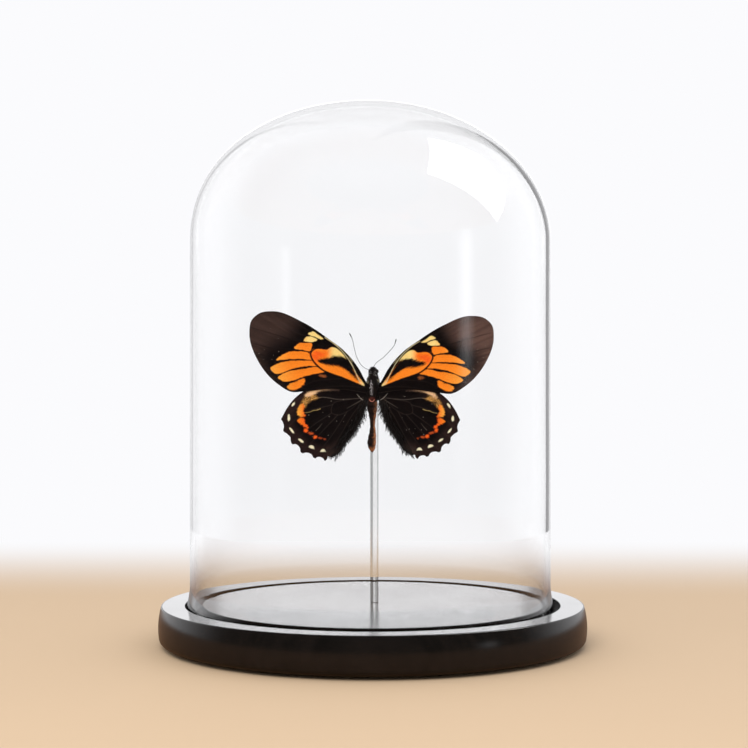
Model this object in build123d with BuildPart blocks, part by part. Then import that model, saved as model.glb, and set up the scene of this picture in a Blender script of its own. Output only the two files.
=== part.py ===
from build123d import *

import os
from math import cos, radians, sin

# A glass bell jar on a grooved, lacquered base, with a spread butterfly glued to a clear rod.
# Millimetres, +Z up. The origin is the centre of the base at table level, and the butterfly's
# back faces -Y. "Left" and "right" are the butterfly's own: left is at -X.

# ---------------------------------------------------------------- driving dimensions

# base
pad_height = 1.5
pad_radius = 8.0
pad_circle_radius = 82.0
base_thickness = 18.0
base_belly_radius = 105.0
base_top_radius = 103.5
base_underside_radius = 104.2
base_lower_round = 3.0
base_top_round = 0.7
groove_outer_radius = 92.0
groove_inner_radius = 83.7
groove_depth = 6.0
groove_edge_round = 0.4

# glass dome
dome_offset_x = -1.2  # the glass has play in its groove and stands a little to the left
dome_radius = 88.5
glass_wall = 2.5
crown_start_height = 197.0
crown_rise = 68.7
rim_radius = 90.3
rim_wall = 3.1
rim_flare_height = 16.0
rim_round = 1.2

# clear rod
rod_radius = 2.0
rod_x = 0.8
rod_seat_depth = 10.0
rod_above_thorax = 2.5
rod_end_chamfer = 0.3

# butterfly: its own origin is the middle of the thorax
butterfly_origin = Vector(0.4, -7.0, 127.0)
wing_thickness = 0.4
wing_lift = {"left": 5.0, "right": 11.0}  # degrees that the wings rise off the back
wing_droop = {"left": 0.0, "right": 1.4}  # degrees that the wings hang below their drawn pose
wing_depth = {"forewing": -1.9, "hindwing": -1.1}
wing_size = {  # the right wings grew a little smaller
    "left": {"forewing": 1.0, "hindwing": 1.0},
    "right": {"forewing": 0.965, "hindwing": 0.957},
}
eye_radius = 1.1
eye_x, eye_y, eye_z = 1.45, 0.3, 6.6
palp_radius = 0.55
palp_taper = 8.0
antenna_radius = 0.2
antenna_club_radius = 0.4
antenna_bend_radius = 6.0
tongue_radius = 0.2
glue_half_width = 2.1
glue_half_height = 3.2
leg_radius = 0.25
knee_bend_radius = 0.6

# A cubic curve with handles of this share of each half axis follows a quarter of an ellipse.
quarter_handle = 0.5523

base_top = pad_height + base_thickness
groove_floor = base_top - groove_depth
base_belly_height = pad_height + 0.45 * base_thickness
sides = {"left": -1, "right": 1}

os.makedirs("parts", exist_ok=True)


def save(finished, name):
    """Labels a finished part and writes its STEP file."""
    finished.label = name
    export_step(finished, f"parts/{name}.step")


def on_butterfly(x, y, z):
    """A point given from the butterfly's origin, in the frame of the whole part."""
    return butterfly_origin + Vector(x, y, z)


def quarter_ellipse(half_width, foot, rise):
    """The points of a quarter of an upright ellipse, from its foot to its top on the axis."""
    return [
        (half_width, foot),
        (half_width, foot + quarter_handle * rise),
        (quarter_handle * half_width, foot + rise),
        (0, foot + rise),
    ]


# ---------------------------------------------------------------- base and its pads

with BuildPart() as display_base:
    with BuildSketch(Plane.XZ):
        with BuildLine():
            Polyline(
                (0, base_top),
                (0, pad_height),
                (base_underside_radius, pad_height),
            )
            ThreePointArc(
                (base_underside_radius, pad_height),
                (base_belly_radius, base_belly_height),
                (base_top_radius, base_top),
            )
            Polyline(
                (base_top_radius, base_top),
                (groove_outer_radius, base_top),
                (groove_outer_radius, groove_floor),
                (groove_inner_radius, groove_floor),
                (groove_inner_radius, base_top),
                (0, base_top),
            )
        make_face()
    revolve(axis=Axis.Z)
    rings = display_base.edges().filter_by(GeomType.CIRCLE)
    lower_edge = rings.group_by(Axis.Z)[0]
    top_edges = rings.group_by(Axis.Z)[-1].sort_by(SortBy.LENGTH)
    fillet(lower_edge, base_lower_round)
    fillet(top_edges[-1], base_top_round)
    fillet(top_edges[:-1], groove_edge_round)
    with Locations((rod_x, 0, base_top)):
        Hole(rod_radius, depth=rod_seat_depth)
save(display_base.part, "display_base")

pad_places = PolarLocations(pad_circle_radius, 4, start_angle=45).locations
for number, place in enumerate(pad_places, start=1):
    with BuildPart() as foot_pad:
        with Locations(place):
            Cylinder(pad_radius, pad_height, align=(Align.CENTER, Align.CENTER, Align.MIN))
    save(foot_pad.part, f"foot_pad_{number}")

# ---------------------------------------------------------------- glass dome

# The wall is drawn in the dome's own plane and revolved about the dome's own axis.
dome_plane = Plane(origin=(dome_offset_x, 0, 0), x_dir=(1, 0, 0), z_dir=(0, -1, 0))
flare_top = groove_floor + rim_flare_height
inner_radius = dome_radius - glass_wall
rim_inner_radius = rim_radius - rim_wall

with BuildPart() as glass_dome:
    with BuildSketch(dome_plane):
        with BuildLine():
            Line((rim_inner_radius, groove_floor), (rim_radius, groove_floor))
            Spline(
                (rim_radius, groove_floor),
                (dome_radius, flare_top),
                tangents=[(0, 1), (0, 1)],
            )
            Line((dome_radius, flare_top), (dome_radius, crown_start_height))
            Bezier(*quarter_ellipse(dome_radius, crown_start_height, crown_rise))
            Line(
                (0, crown_start_height + crown_rise),
                (0, crown_start_height + crown_rise - glass_wall),
            )
            Bezier(*quarter_ellipse(inner_radius, crown_start_height, crown_rise - glass_wall))
            Line((inner_radius, crown_start_height), (inner_radius, flare_top))
            Spline(
                (inner_radius, flare_top),
                (rim_inner_radius, groove_floor),
                tangents=[(0, -1), (0, -1)],
            )
        make_face()
    revolve(axis=Axis((dome_offset_x, 0, 0), (0, 0, 1)))
    fillet(glass_dome.edges().group_by(Axis.Z)[0], rim_round)
save(glass_dome.part, "glass_dome")

# ---------------------------------------------------------------- clear rod

rod_bottom = base_top - rod_seat_depth
rod_top = butterfly_origin.Z + rod_above_thorax

with BuildPart() as stand_rod:
    with BuildSketch(Plane.XY.offset(rod_bottom)):
        with Locations((rod_x, 0)):
            Circle(rod_radius)
    extrude(amount=rod_top - rod_bottom)
    chamfer(stand_rod.edges().group_by(Axis.Z)[-1], rod_end_chamfer)
save(stand_rod.part, "stand_rod")

# ---------------------------------------------------------------- butterfly: head, thorax, abdomen

body_plane = Plane(origin=butterfly_origin, x_dir=(1, 0, 0), z_dir=(0, -1, 0))
body_axis = Axis(butterfly_origin, (0, 0, 1))

# Each stretch is turned about the upright body axis: (radius, height), with both ends on the axis.
trunk_outlines = {
    "thorax": [(0, 5.0), (2.4, 4.2), (3.2, 2.2), (4.1, -1.2), (3.7, -5.6), (2.4, -8.2), (0, -9.0)],
    "head": [(0, 8.8), (1.6, 8.2), (2.3, 6.4), (1.8, 4.6), (0, 3.6)],
    "abdomen": [
        (0, -6.8),
        (2.8, -8.6),
        (2.2, -12.9),
        (1.3, -18.1),
        (1.5, -22.3),
        (2.2, -27.2),
        (1.6, -30.6),
        (0, -33.2),
    ],
}


def half_section(name):
    """The half of a stretch's upright section that is turned about the body axis."""
    outline = trunk_outlines[name]
    with BuildSketch(body_plane) as section:
        with BuildLine():
            Spline(*outline)
            Line(outline[-1], outline[0])
        make_face()
    return section.sketch


with BuildPart() as thorax:
    revolve(half_section("thorax"), axis=body_axis)
save(thorax.part, "thorax")

with BuildPart() as abdomen:
    revolve(half_section("abdomen"), axis=body_axis)
    add(thorax.part, mode=Mode.SUBTRACT)
save(abdomen.part, "abdomen")

with BuildPart() as head:
    revolve(half_section("head"), axis=body_axis)
    add(thorax.part, mode=Mode.SUBTRACT)
save(head.part, "head")

# The glue holds the thorax to the rod and wells up around both, so it is a press fit on each.
glue_centre = on_butterfly(0.3, 4.4, -1.2)
glue_plane = Plane(origin=glue_centre, x_dir=(1, 0, 0), z_dir=(0, -1, 0))
glue_ends = [(0, glue_half_height), (glue_half_width, 0), (0, -glue_half_height)]

with BuildPart() as glue_bead:
    with BuildSketch(glue_plane):
        with BuildLine():
            Spline(*glue_ends, tangents=[(1, 0), (-1, 0)])
            Line(glue_ends[-1], glue_ends[0])
        make_face()
    revolve(axis=Axis(glue_centre, (0, 0, 1)))
save(glue_bead.part, "glue_bead")

# ---------------------------------------------------------------- butterfly: wings

# Outlines in the wing's own plane: (outward, upward) from the butterfly's origin.
forewing_front = [
    (2.6, 0.0),
    (4.2, 2.4),
    (6.8, 7.2),
    (10.2, 12.1),
    (14.8, 17.0),
    (21.6, 22.1),
    (34.8, 30.6),
    (48.5, 35.7),
    (55.5, 34.7),
    (59.2, 31.4),
    (60.3, 25.0),
    (56.3, 11.9),
    (46.7, 0.5),
    (39.8, -3.4),
    (34.2, -3.2),
]
forewing_back = [(34.2, -3.2), (18.0, -1.8), (2.6, -3.4)]
hindwing_front = [
    (2.6, -2.4),
    (14.0, 0.4),
    (26.0, 0.6),
    (34.5, -3.3),
    (38.7, -6.7),
    (41.9, -10.8),
    (45.1, -16.6),
]
# The outer margin of the hindwing has a tooth at the end of each vein and a bay between teeth.
hindwing_bays = [
    [(45.1, -16.6), (44.1, -18.4), (43.7, -20.2), (44.0, -22.3), (42.2, -23.7), (40.5, -25.4)],
    [(40.5, -25.4), (40.3, -27.6), (39.6, -28.8), (38.2, -28.7), (35.9, -30.8), (35.7, -32.5)],
    [(35.7, -32.5), (34.7, -33.2), (33.4, -32.9), (30.2, -33.9), (29.4, -35.3), (28.4, -35.7)],
    [(28.4, -35.7), (27.5, -35.1), (24.6, -35.8), (23.8, -36.9), (22.9, -36.2), (22.4, -34.8)],
]
hindwing_inner = [
    (22.4, -34.8),
    (20.9, -35.1),
    (18.6, -34.2),
    (13.4, -28.5),
    (8.8, -22.4),
    (5.2, -15.2),
    (2.6, -7.0),
]
wing_outlines = {
    "forewing": [forewing_front, forewing_back],
    "hindwing": [hindwing_front, *hindwing_bays, hindwing_inner],
}


def wing_plane(side, depth):
    """The plane that a wing lies in: its X runs outward along the wing and its Y up the wing."""
    lift = radians(wing_lift[side])
    outward = Vector(sides[side] * cos(lift), -sin(lift), 0)
    facing = outward.cross(Vector(0, 0, 1))
    along = outward.rotate(Axis((0, 0, 0), facing), -wing_droop[side])
    return Plane(origin=on_butterfly(0, depth, 0), x_dir=along, z_dir=facing)


for side in sides:
    for wing_name, drawn_stretches in wing_outlines.items():
        size = wing_size[side][wing_name]
        stretches = [[(size * x, size * y) for x, y in points] for points in drawn_stretches]
        with BuildPart() as wing:
            with BuildSketch(wing_plane(side, wing_depth[wing_name])):
                with BuildLine():
                    for points in stretches:
                        Spline(*points)
                    Line(stretches[-1][-1], stretches[0][0])
                make_face()
            extrude(amount=wing_thickness / 2, both=True)
            add(thorax.part, mode=Mode.SUBTRACT)
        save(wing.part, f"{wing_name}_{side}")

# ---------------------------------------------------------------- butterfly: small head parts

for side, sign in sides.items():
    with BuildPart() as eye:
        with Locations(on_butterfly(sign * eye_x, eye_y, eye_z)):
            Sphere(eye_radius)
    save(eye.part, f"eye_{side}")

    with BuildPart() as palp:
        palp_start = on_butterfly(sign * 0.7, 1.6, 5.6)
        palp_end = on_butterfly(sign * 0.9, 2.7, 8.2)
        with BuildSketch(Plane(origin=palp_start, z_dir=palp_end - palp_start)):
            Circle(palp_radius)
        extrude(amount=(palp_end - palp_start).length, taper=palp_taper)
        add(head.part, mode=Mode.SUBTRACT)
    save(palp.part, f"palp_{side}")

# Each antenna leaves the brow, bends outward and ends in a small club.
antenna_routes = {
    "left": [(-0.9, -0.9, 7.0), (-5.3, -1.3, 8.6), (-8.6, -1.1, 14.6), (-11.9, -1.3, 25.5)],
    "right": [(-0.4, -0.6, 7.4), (1.0, -0.9, 10.5), (7.6, -1.1, 16.2), (11.1, -1.3, 22.8)],
}
for side, route in antenna_routes.items():
    points = [on_butterfly(*point) for point in route]
    with BuildPart() as antenna:
        with BuildLine():
            FilletPolyline(*points, radius=antenna_bend_radius)
        with BuildSketch(Plane(origin=points[0], z_dir=points[1] - points[0])):
            Circle(antenna_radius)
        sweep()
        with Locations(points[-1]):
            Sphere(antenna_club_radius)
        add(head.part, mode=Mode.SUBTRACT)
    save(antenna.part, f"antenna_{side}")

# The tongue is wound up under the head: half circles that grow by one tongue width each.
coil_start_radius = 0.55
coil_growth = 0.5
coil_half_turns = 4
coil_plane = Plane(origin=on_butterfly(0, 3.5, 6.4), x_dir=(0, 1, 0), z_dir=(1, 0, 0))

with BuildPart() as proboscis:
    with BuildLine(coil_plane) as coil:
        coil_x = 0.0
        for half_turn in range(coil_half_turns):
            arc_radius = coil_start_radius + half_turn * coil_growth / 2
            start_angle = 180 * (half_turn % 2)
            CenterArc((coil_x, 0), arc_radius, start_angle, 180)
            coil_x += coil_growth / 2 * (1 if half_turn % 2 == 0 else -1)
    with BuildSketch(Plane(coil.line @ 0, z_dir=coil.line % 0)):
        Circle(tongue_radius)
    sweep()
save(proboscis.part, "proboscis")

# ---------------------------------------------------------------- butterfly: folded legs

# Hip, knee, ankle and toe of each left leg, folded against the underside beside the rod.
leg_routes = {
    "foreleg": [(1.5, 2.8, 1.6), (2.6, 4.2, 3.0), (3.0, 5.2, 0.2), (3.0, 5.4, -3.2)],
    "midleg": [(2.6, 2.9, -1.6), (4.2, 5.0, 0.6), (3.9, 6.8, -3.8), (3.5, 6.5, -8.2)],
    "hindleg": [(1.7, 3.0, -4.6), (4.0, 4.8, -6.0), (3.9, 4.9, -11.8), (3.4, 4.0, -16.5)],
}
for side, sign in sides.items():
    for leg_name, route in leg_routes.items():
        points = [on_butterfly(sign * x, y, z) for x, y, z in route]
        with BuildPart() as leg:
            with BuildLine():
                FilletPolyline(*points, radius=knee_bend_radius)
            with BuildSketch(Plane(origin=points[0], z_dir=points[1] - points[0])):
                Circle(leg_radius)
            sweep()
            add(thorax.part, mode=Mode.SUBTRACT)
        save(leg.part, f"{leg_name}_{side}")
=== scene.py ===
import math

import bpy
import numpy as np
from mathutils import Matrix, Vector
from mathutils.geometry import delaunay_2d_cdt


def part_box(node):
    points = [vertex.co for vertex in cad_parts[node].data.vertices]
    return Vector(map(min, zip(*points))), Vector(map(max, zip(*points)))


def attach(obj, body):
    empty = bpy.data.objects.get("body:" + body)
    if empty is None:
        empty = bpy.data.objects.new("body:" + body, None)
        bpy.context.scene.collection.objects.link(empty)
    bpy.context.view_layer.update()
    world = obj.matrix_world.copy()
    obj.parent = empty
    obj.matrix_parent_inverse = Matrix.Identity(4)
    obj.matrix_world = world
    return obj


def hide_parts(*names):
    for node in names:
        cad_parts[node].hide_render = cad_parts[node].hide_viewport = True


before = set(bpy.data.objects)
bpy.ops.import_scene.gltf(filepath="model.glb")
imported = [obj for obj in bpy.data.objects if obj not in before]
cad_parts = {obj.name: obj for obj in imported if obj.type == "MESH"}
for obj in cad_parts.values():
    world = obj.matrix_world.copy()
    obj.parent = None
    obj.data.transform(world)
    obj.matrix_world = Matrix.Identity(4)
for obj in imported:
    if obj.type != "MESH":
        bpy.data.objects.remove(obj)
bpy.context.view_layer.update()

# A glass bell jar over a spread butterfly. Metres in the frame's axes: +Z up, and the viewer and
# the butterfly's back towards -Y. Shapes of the butterfly are written in millimetres from its
# own origin, the middle of the thorax, and turned to metres by MM.

MM = 0.001
rng = np.random.default_rng(20)

_, base_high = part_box("display_base")
dome_low, dome_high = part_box("glass_dome")
thorax_low, thorax_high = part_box("thorax")
THORAX_TOP = 5.05  # of the thorax above the butterfly's origin, in mm
origin = np.array(
    [
        (thorax_low.x + thorax_high.x) / 2,
        (thorax_low.y + thorax_high.y) / 2,
        thorax_high.z - THORAX_TOP * MM,
    ]
)
SIDES = {"left": -1, "right": 1}


# ---------------------------------------------------------------- lines and surfaces


def smooth_line(points, step, closed=False):
    """Points about one step apart on a smooth line through the given ones."""
    p = np.asarray(points, float)
    if closed:
        p = np.vstack([p, p[:1]])
    gaps = np.linalg.norm(np.diff(p, axis=0), axis=1)
    at = np.concatenate([[0], np.cumsum(gaps)])
    slopes = np.gradient(p, at, axis=0)
    if closed:
        slopes[0] = slopes[-1] = (p[1] - p[-2]) / (gaps[0] + gaps[-1])
    count = max(2, int(round(at[-1] / step)) + 1)
    where = np.linspace(0, at[-1], count)
    span = np.clip(np.searchsorted(at, where, side="right") - 1, 0, len(gaps) - 1)
    t = ((where - at[span]) / gaps[span])[:, None]
    h = gaps[span][:, None]
    line = (
        (2 * t**3 - 3 * t**2 + 1) * p[span]
        + (t**3 - 2 * t**2 + t) * h * slopes[span]
        + (3 * t**2 - 2 * t**3) * p[span + 1]
        + (t**3 - t**2) * h * slopes[span + 1]
    )
    return line[:-1] if closed else line


def depth_inside(points, outline):
    """How far each point lies inside a closed outline, negative where it lies outside."""
    a = outline[None, :, :]
    b = np.roll(outline, -1, axis=0)[None, :, :]
    p = points[:, None, :]
    edge = b - a
    share = ((p - a) * edge).sum(2) / np.maximum((edge * edge).sum(2), 1e-12)
    nearest = a + np.clip(share, 0, 1)[:, :, None] * edge
    distance = np.sqrt(((p - nearest) ** 2).sum(2).min(1))
    straddles = (a[:, :, 1] > p[:, :, 1]) != (b[:, :, 1] > p[:, :, 1])
    height = np.where(np.abs(edge[:, :, 1]) < 1e-12, 1e-12, edge[:, :, 1])
    crossing = a[:, :, 0] + (p[:, :, 1] - a[:, :, 1]) / height * edge[:, :, 0]
    inside = (straddles & (p[:, :, 0] < crossing)).sum(1) % 2 == 1
    return np.where(inside, distance, -distance)


def distance_to_line(points, line):
    """The distance of each point from an open line, and how far along it the nearest place is."""
    a = line[None, :-1, :]
    edge = line[None, 1:, :] - a
    p = points[:, None, :]
    share = np.clip(((p - a) * edge).sum(2) / np.maximum((edge * edge).sum(2), 1e-12), 0, 1)
    gap = np.sqrt(((p - a - share[:, :, None] * edge) ** 2).sum(2))
    nearest = gap.argmin(1)
    rows = np.arange(len(points))
    return gap[rows, nearest], (nearest + share[rows, nearest]) / (len(line) - 1)


def soft_step(value, low, high):
    """0 below low, 1 above high and smooth between."""
    t = np.clip((value - low) / (high - low), 0, 1)
    return t * t * (3 - 2 * t)


def skin(rings):
    """Points and faces of a surface through rings of points. A ring of one point is a pole."""
    points = np.vstack(rings)
    starts = np.concatenate([[0], np.cumsum([len(ring) for ring in rings])])
    faces = []
    for one in range(len(rings) - 1):
        a, b = starts[one], starts[one + 1]
        n, m = len(rings[one]), len(rings[one + 1])
        for i in range(max(n, m)):
            j = (i + 1) % max(n, m)
            if n == 1:
                faces.append((a, b + j, b + i))
            elif m == 1:
                faces.append((a + i, a + j, b))
            else:
                faces.append((a + i, a + j, b + j, b + i))
    return points, faces


def circle(centre, across, up, count):
    """A ring of points about a centre, spanned by two half axes."""
    angle = np.arange(count) * 2 * math.pi / count
    return centre + np.cos(angle)[:, None] * across + np.sin(angle)[:, None] * up


def level_ring(centre, half_x, half_y, count):
    """A level ellipse of points."""
    return circle(centre, np.array([half_x, 0, 0]), np.array([0, half_y, 0]), count)


def egg(node, steepest, ring_count, around, sag=0.0):
    """A drop that fills a node's box. Sag makes it fuller below its middle than above."""
    low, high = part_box(node)
    centre, half = np.array((low + high) / 2), np.array(high - low) / 2
    rings = [np.array([centre - (0, 0, half[2])])]
    for tilt in np.radians(np.linspace(-steepest, steepest, ring_count)):
        reach = math.cos(tilt) * (1 - sag * math.sin(2 * tilt))
        level = centre + (0, 0, half[2] * math.sin(tilt))
        rings.append(level_ring(level, half[0] * reach, half[1] * reach, around))
    rings.append(np.array([centre + (0, 0, half[2])]))
    return skin(rings)


def tube(line, radii, sides=12):
    """A tube along a line, rounded off to a point at both ends."""
    line = np.asarray(line, float)
    radii = np.broadcast_to(radii, len(line))
    ahead = np.gradient(line, axis=0)
    ahead /= np.linalg.norm(ahead, axis=1)[:, None]
    across = np.cross(ahead[0], (0.3, 0.9, 0.2))
    rings = [line[:1] - ahead[0] * radii[0] * 0.5]
    for centre, forward, radius in zip(line, ahead, radii):
        across = across - forward * across.dot(forward)
        across /= np.linalg.norm(across)
        rings.append(circle(centre, across * radius, np.cross(forward, across) * radius, sides))
    rings.append(line[-1:] + ahead[-1] * radii[-1] * 0.5)
    return skin(rings)


def joined(parts):
    """Several (points, faces) pairs as one."""
    points, faces, start = [], [], 0
    for part_points, part_faces in parts:
        points.append(part_points)
        faces += [tuple(start + i for i in face) for face in part_faces]
        start += len(part_points)
    return np.vstack(points), faces


HAIR_SIDES = 3
HAIR_RINGS = (0.0, 0.45, 0.8)


def hairs(roots, directions, lengths, radius, sag):
    """Fine tapered hairs. Each leaves its root in its direction and bends by sag as it goes."""
    parts = []
    for root, direction, length in zip(roots, directions, lengths):
        direction = direction / np.linalg.norm(direction)
        across = np.cross(direction, (0.37, 0.21, 0.9))
        across /= np.linalg.norm(across)
        up = np.cross(direction, across)
        rings = []
        for share in HAIR_RINGS:
            centre = root + direction * length * share + sag * length * share**2
            thin = radius * (1 - 0.6 * share)
            rings.append(circle(centre, across * thin, up * thin, HAIR_SIDES))
        rings.append((root + direction * length + sag * length)[None, :])
        parts.append(skin(rings))
    return joined(parts)


def piece(name, shape, material, body="stand", replaces=(), colours=None):
    """Makes a smooth mesh piece in metres, lets it ride on its body and hides what it replaces.
    Colours is one colour for the whole piece or one for each point."""
    points, faces = shape
    mesh = bpy.data.meshes.new(name)
    mesh.from_pydata([tuple(p) for p in points], [], faces)
    mesh.validate()
    mesh.polygons.foreach_set("use_smooth", [True] * len(mesh.polygons))
    mesh.materials.append(material)
    if colours is not None:
        layer = mesh.color_attributes.new("tint", "FLOAT_COLOR", "POINT")
        rgba = np.ones((len(points), 4), np.float32)
        rgba[:, :3] = colours
        layer.data.foreach_set("color", rgba.ravel())
    mesh.update()
    obj = bpy.data.objects.new(name, mesh)
    bpy.context.scene.collection.objects.link(obj)
    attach(obj, body)
    if replaces:
        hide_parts(*replaces)
    return obj


def on_butterfly(name, shape, material, colours, replaces=()):
    """Makes a piece whose shape is given in mm from the butterfly's origin."""
    points, faces = shape
    placed = origin + np.asarray(points, float) * MM
    piece(name, (placed, faces), material, replaces=replaces, colours=colours)


# ---------------------------------------------------------------- materials


def feed(links, target, value):
    """Links a socket to a node's input, or sets the input where the value isn't a socket."""
    if isinstance(value, bpy.types.NodeSocket):
        links.new(value, target)
    else:
        target.default_value = value


class Finish:
    """A node material with one principled shader and short calls for the usual nodes."""

    def __init__(self, name):
        self.material = bpy.data.materials.new(name)
        self.material.use_nodes = True
        self.nodes = self.material.node_tree.nodes
        self.links = self.material.node_tree.links
        self.shader = self.nodes["Principled BSDF"]
        self.output = self.nodes["Material Output"]
        self.place = self.node("ShaderNodeTexCoord").outputs["Object"]

    def node(self, kind, **settings):
        made = self.nodes.new(kind)
        for key, value in settings.items():
            setattr(made, key, value)
        return made

    def set(self, **values):
        for key, value in values.items():
            self.shader.inputs[key.replace("_", " ")].default_value = value

    def drive(self, socket, source):
        self.links.new(source, self.shader.inputs[socket])

    def stretched(self, scale):
        mapping = self.node("ShaderNodeMapping")
        mapping.inputs["Scale"].default_value = scale
        self.links.new(self.place, mapping.inputs["Vector"])
        return mapping.outputs["Vector"]

    def noise(self, size, detail=4.0, place=None):
        """Noise with features of about one size, in metres."""
        made = self.node("ShaderNodeTexNoise")
        made.inputs["Scale"].default_value = 1 / size
        made.inputs["Detail"].default_value = detail
        self.links.new(place or self.place, made.inputs["Vector"])
        return made.outputs["Fac"]

    def cells(self, size):
        """Distance from the middle of scattered cells of about one size, in metres."""
        made = self.node("ShaderNodeTexVoronoi", feature="F1")
        made.inputs["Scale"].default_value = 1 / size
        self.links.new(self.place, made.inputs["Vector"])
        return made.outputs["Distance"]

    def span(self, value, low, high, from_low=0.0, from_high=1.0):
        """A value moved from one range to another."""
        made = self.node("ShaderNodeMapRange")
        self.links.new(value, made.inputs["Value"])
        made.inputs["From Min"].default_value = from_low
        made.inputs["From Max"].default_value = from_high
        made.inputs["To Min"].default_value = low
        made.inputs["To Max"].default_value = high
        return made.outputs["Result"]

    def ramp(self, value, stops):
        """Colours along a value, as (place, (r, g, b)) pairs."""
        made = self.node("ShaderNodeValToRGB")
        elements = made.color_ramp.elements
        while len(elements) < len(stops):
            elements.new(0.5)
        for element, (place, colour) in zip(elements, stops):
            element.position = place
            element.color = (*colour, 1)
        self.links.new(value, made.inputs["Fac"])
        return made.outputs["Color"]

    def mix(self, share, one, two, blend="MIX"):
        """Two colours mixed by a share, each a socket or an (r, g, b)."""
        made = self.node("ShaderNodeMix", data_type="RGBA", blend_type=blend)
        for socket, value in (("Factor", share), ("A", one), ("B", two)):
            wanted = "VALUE" if socket == "Factor" else "RGBA"
            target = next(s for s in made.inputs if s.name == socket and s.type == wanted)
            feed(self.links, target, (*value, 1) if isinstance(value, tuple) else value)
        return next(s for s in made.outputs if s.type == "RGBA")

    def tint(self):
        return self.node("ShaderNodeAttribute", attribute_name="tint").outputs["Color"]

    def bump(self, height, depth, under=None):
        """Small relief, depth metres from the lowest to the highest, on top of another relief."""
        made = self.node("ShaderNodeBump")
        made.inputs["Distance"].default_value = depth
        made.inputs["Strength"].default_value = 1.0
        self.links.new(height, made.inputs["Height"])
        if under:
            self.links.new(under, made.inputs["Normal"])
        return made.outputs["Normal"]

    def overlay(self, share, other):
        """Shows another shader in place of the principled one where the share is 1."""
        pick = self.node("ShaderNodeMixShader")
        self.links.new(share, pick.inputs["Fac"])
        self.links.new(self.shader.outputs[0], pick.inputs[1])
        self.links.new(other.outputs[0], pick.inputs[2])
        self.links.new(pick.outputs[0], self.output.inputs["Surface"])


def lacquered_wood():
    """Black satin lacquer on a turned disc: faint grain under it, soft waves and fine dust."""
    f = Finish("black_lacquer")
    grain = f.noise(0.012, 6, f.stretched((1, 9, 1)))
    f.drive("Base Color", f.ramp(grain, [(0.3, (0.004, 0.0035, 0.003)), (0.75, (0.009, 0.007, 0.006))]))
    f.drive("Roughness", f.span(f.noise(0.03, 3), 0.15, 0.21))
    waves = f.bump(f.noise(0.02, 2), 0.00003)
    dust = f.bump(f.noise(0.0006, 2), 0.000004, under=waves)
    f.drive("Normal", dust)
    f.set(IOR=1.5)
    return f.material


def felt():
    f = Finish("felt")
    fibres = f.noise(0.0005, 6)
    f.drive("Base Color", f.ramp(fibres, [(0.3, (0.008, 0.008, 0.009)), (0.7, (0.03, 0.03, 0.032))]))
    f.drive("Normal", f.bump(fibres, 0.0004))
    f.set(Roughness=1.0, Sheen_Weight=0.6, Sheen_Roughness=0.5)
    return f.material


def clear(name, ior, seen_through, edge_tint_and_shade, wobble, wobble_depth):
    """A clear solid: light and shadow rays pass straight through it, sight rays bend. It is painted a
    little darker where it is seen edge on, partly as thick glass is and partly as painted shade
    that keeps its outline dark."""
    f = Finish(name)
    f.set(IOR=ior, Transmission_Weight=1.0)
    # Painted shade along the outline: the tint darkens where the surface is seen edge on.
    edge = f.node("ShaderNodeLayerWeight")
    edge.inputs["Blend"].default_value = 0.5
    tint = f.ramp(edge.outputs["Facing"], [(0.75, seen_through), (0.98, edge_tint_and_shade)])
    f.drive("Base Color", tint)
    f.drive("Roughness", f.span(f.noise(0.02, 2), 0.0, 0.006))
    f.drive("Normal", f.bump(f.noise(wobble, 1), wobble_depth))
    straight = f.node("ShaderNodeBsdfTransparent")
    f.links.new(tint, straight.inputs["Color"])
    path = f.node("ShaderNodeLightPath")
    either = f.node("ShaderNodeMath", operation="MAXIMUM")
    f.links.new(path.outputs["Is Shadow Ray"], either.inputs[0])
    f.links.new(path.outputs["Is Diffuse Ray"], either.inputs[1])
    f.overlay(either.outputs[0], straight)
    return f.material


def wing_scales():
    """Overlapping wing scales: painted tints, broken up scale by scale, with a dull silky sheen."""
    f = Finish("wing_scales")
    scales = f.cells(0.00022)
    patches = f.noise(0.0015, 5)
    shade = f.mix(f.span(scales, 0.0, 0.3, 0.1, 0.9), f.tint(), (0.0, 0.0, 0.0))
    f.drive("Base Color", f.mix(f.span(patches, 0.0, 0.007, 0.5, 0.75), shade, (0.32, 0.24, 0.19)))
    f.drive("Roughness", f.span(patches, 0.5, 0.78))
    ribs = f.bump(f.noise(0.0006, 3), 0.00006)
    f.drive("Normal", f.bump(scales, 0.00003, under=ribs))
    f.set(Specular_IOR_Level=0.08, Sheen_Weight=0.02, Sheen_Roughness=0.4)
    f.shader.inputs["Sheen Tint"].default_value = (0.9, 0.7, 0.55, 1)
    return f.material


def hair_coat():
    f = Finish("hair_coat")
    f.drive("Base Color", f.mix(f.span(f.noise(0.002, 4), 0.0, 0.06), f.tint(), (0.05, 0.03, 0.025)))
    f.drive("Roughness", f.span(f.noise(0.001, 2), 0.35, 0.6))
    f.drive("Normal", f.bump(f.noise(0.0002, 2), 0.00001))
    f.set(Specular_IOR_Level=0.08)
    return f.material


def cuticle(name, low, high, roughness):
    """Bare or scaled shell of the body, mottled between two colours over its painted tint."""
    f = Finish(name)
    mottle = f.noise(0.0012, 5)
    f.drive("Base Color", f.mix(0.45, f.tint(), f.ramp(mottle, [(0.3, low), (0.7, high)]), "ADD"))
    f.drive("Roughness", f.span(mottle, roughness, roughness + 0.25))
    f.drive("Normal", f.bump(f.noise(0.00035, 4), 0.00008))
    f.set(Specular_IOR_Level=0.1)
    return f.material


def faceted_eye():
    f = Finish("faceted_eye")
    facets = f.cells(0.00012)
    f.drive("Base Color", f.ramp(facets, [(0.0, (0.03, 0.016, 0.012)), (0.6, (0.008, 0.005, 0.004))]))
    f.drive("Roughness", f.span(facets, 0.15, 0.35))
    f.drive("Normal", f.bump(facets, 0.00003))
    return f.material


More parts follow.
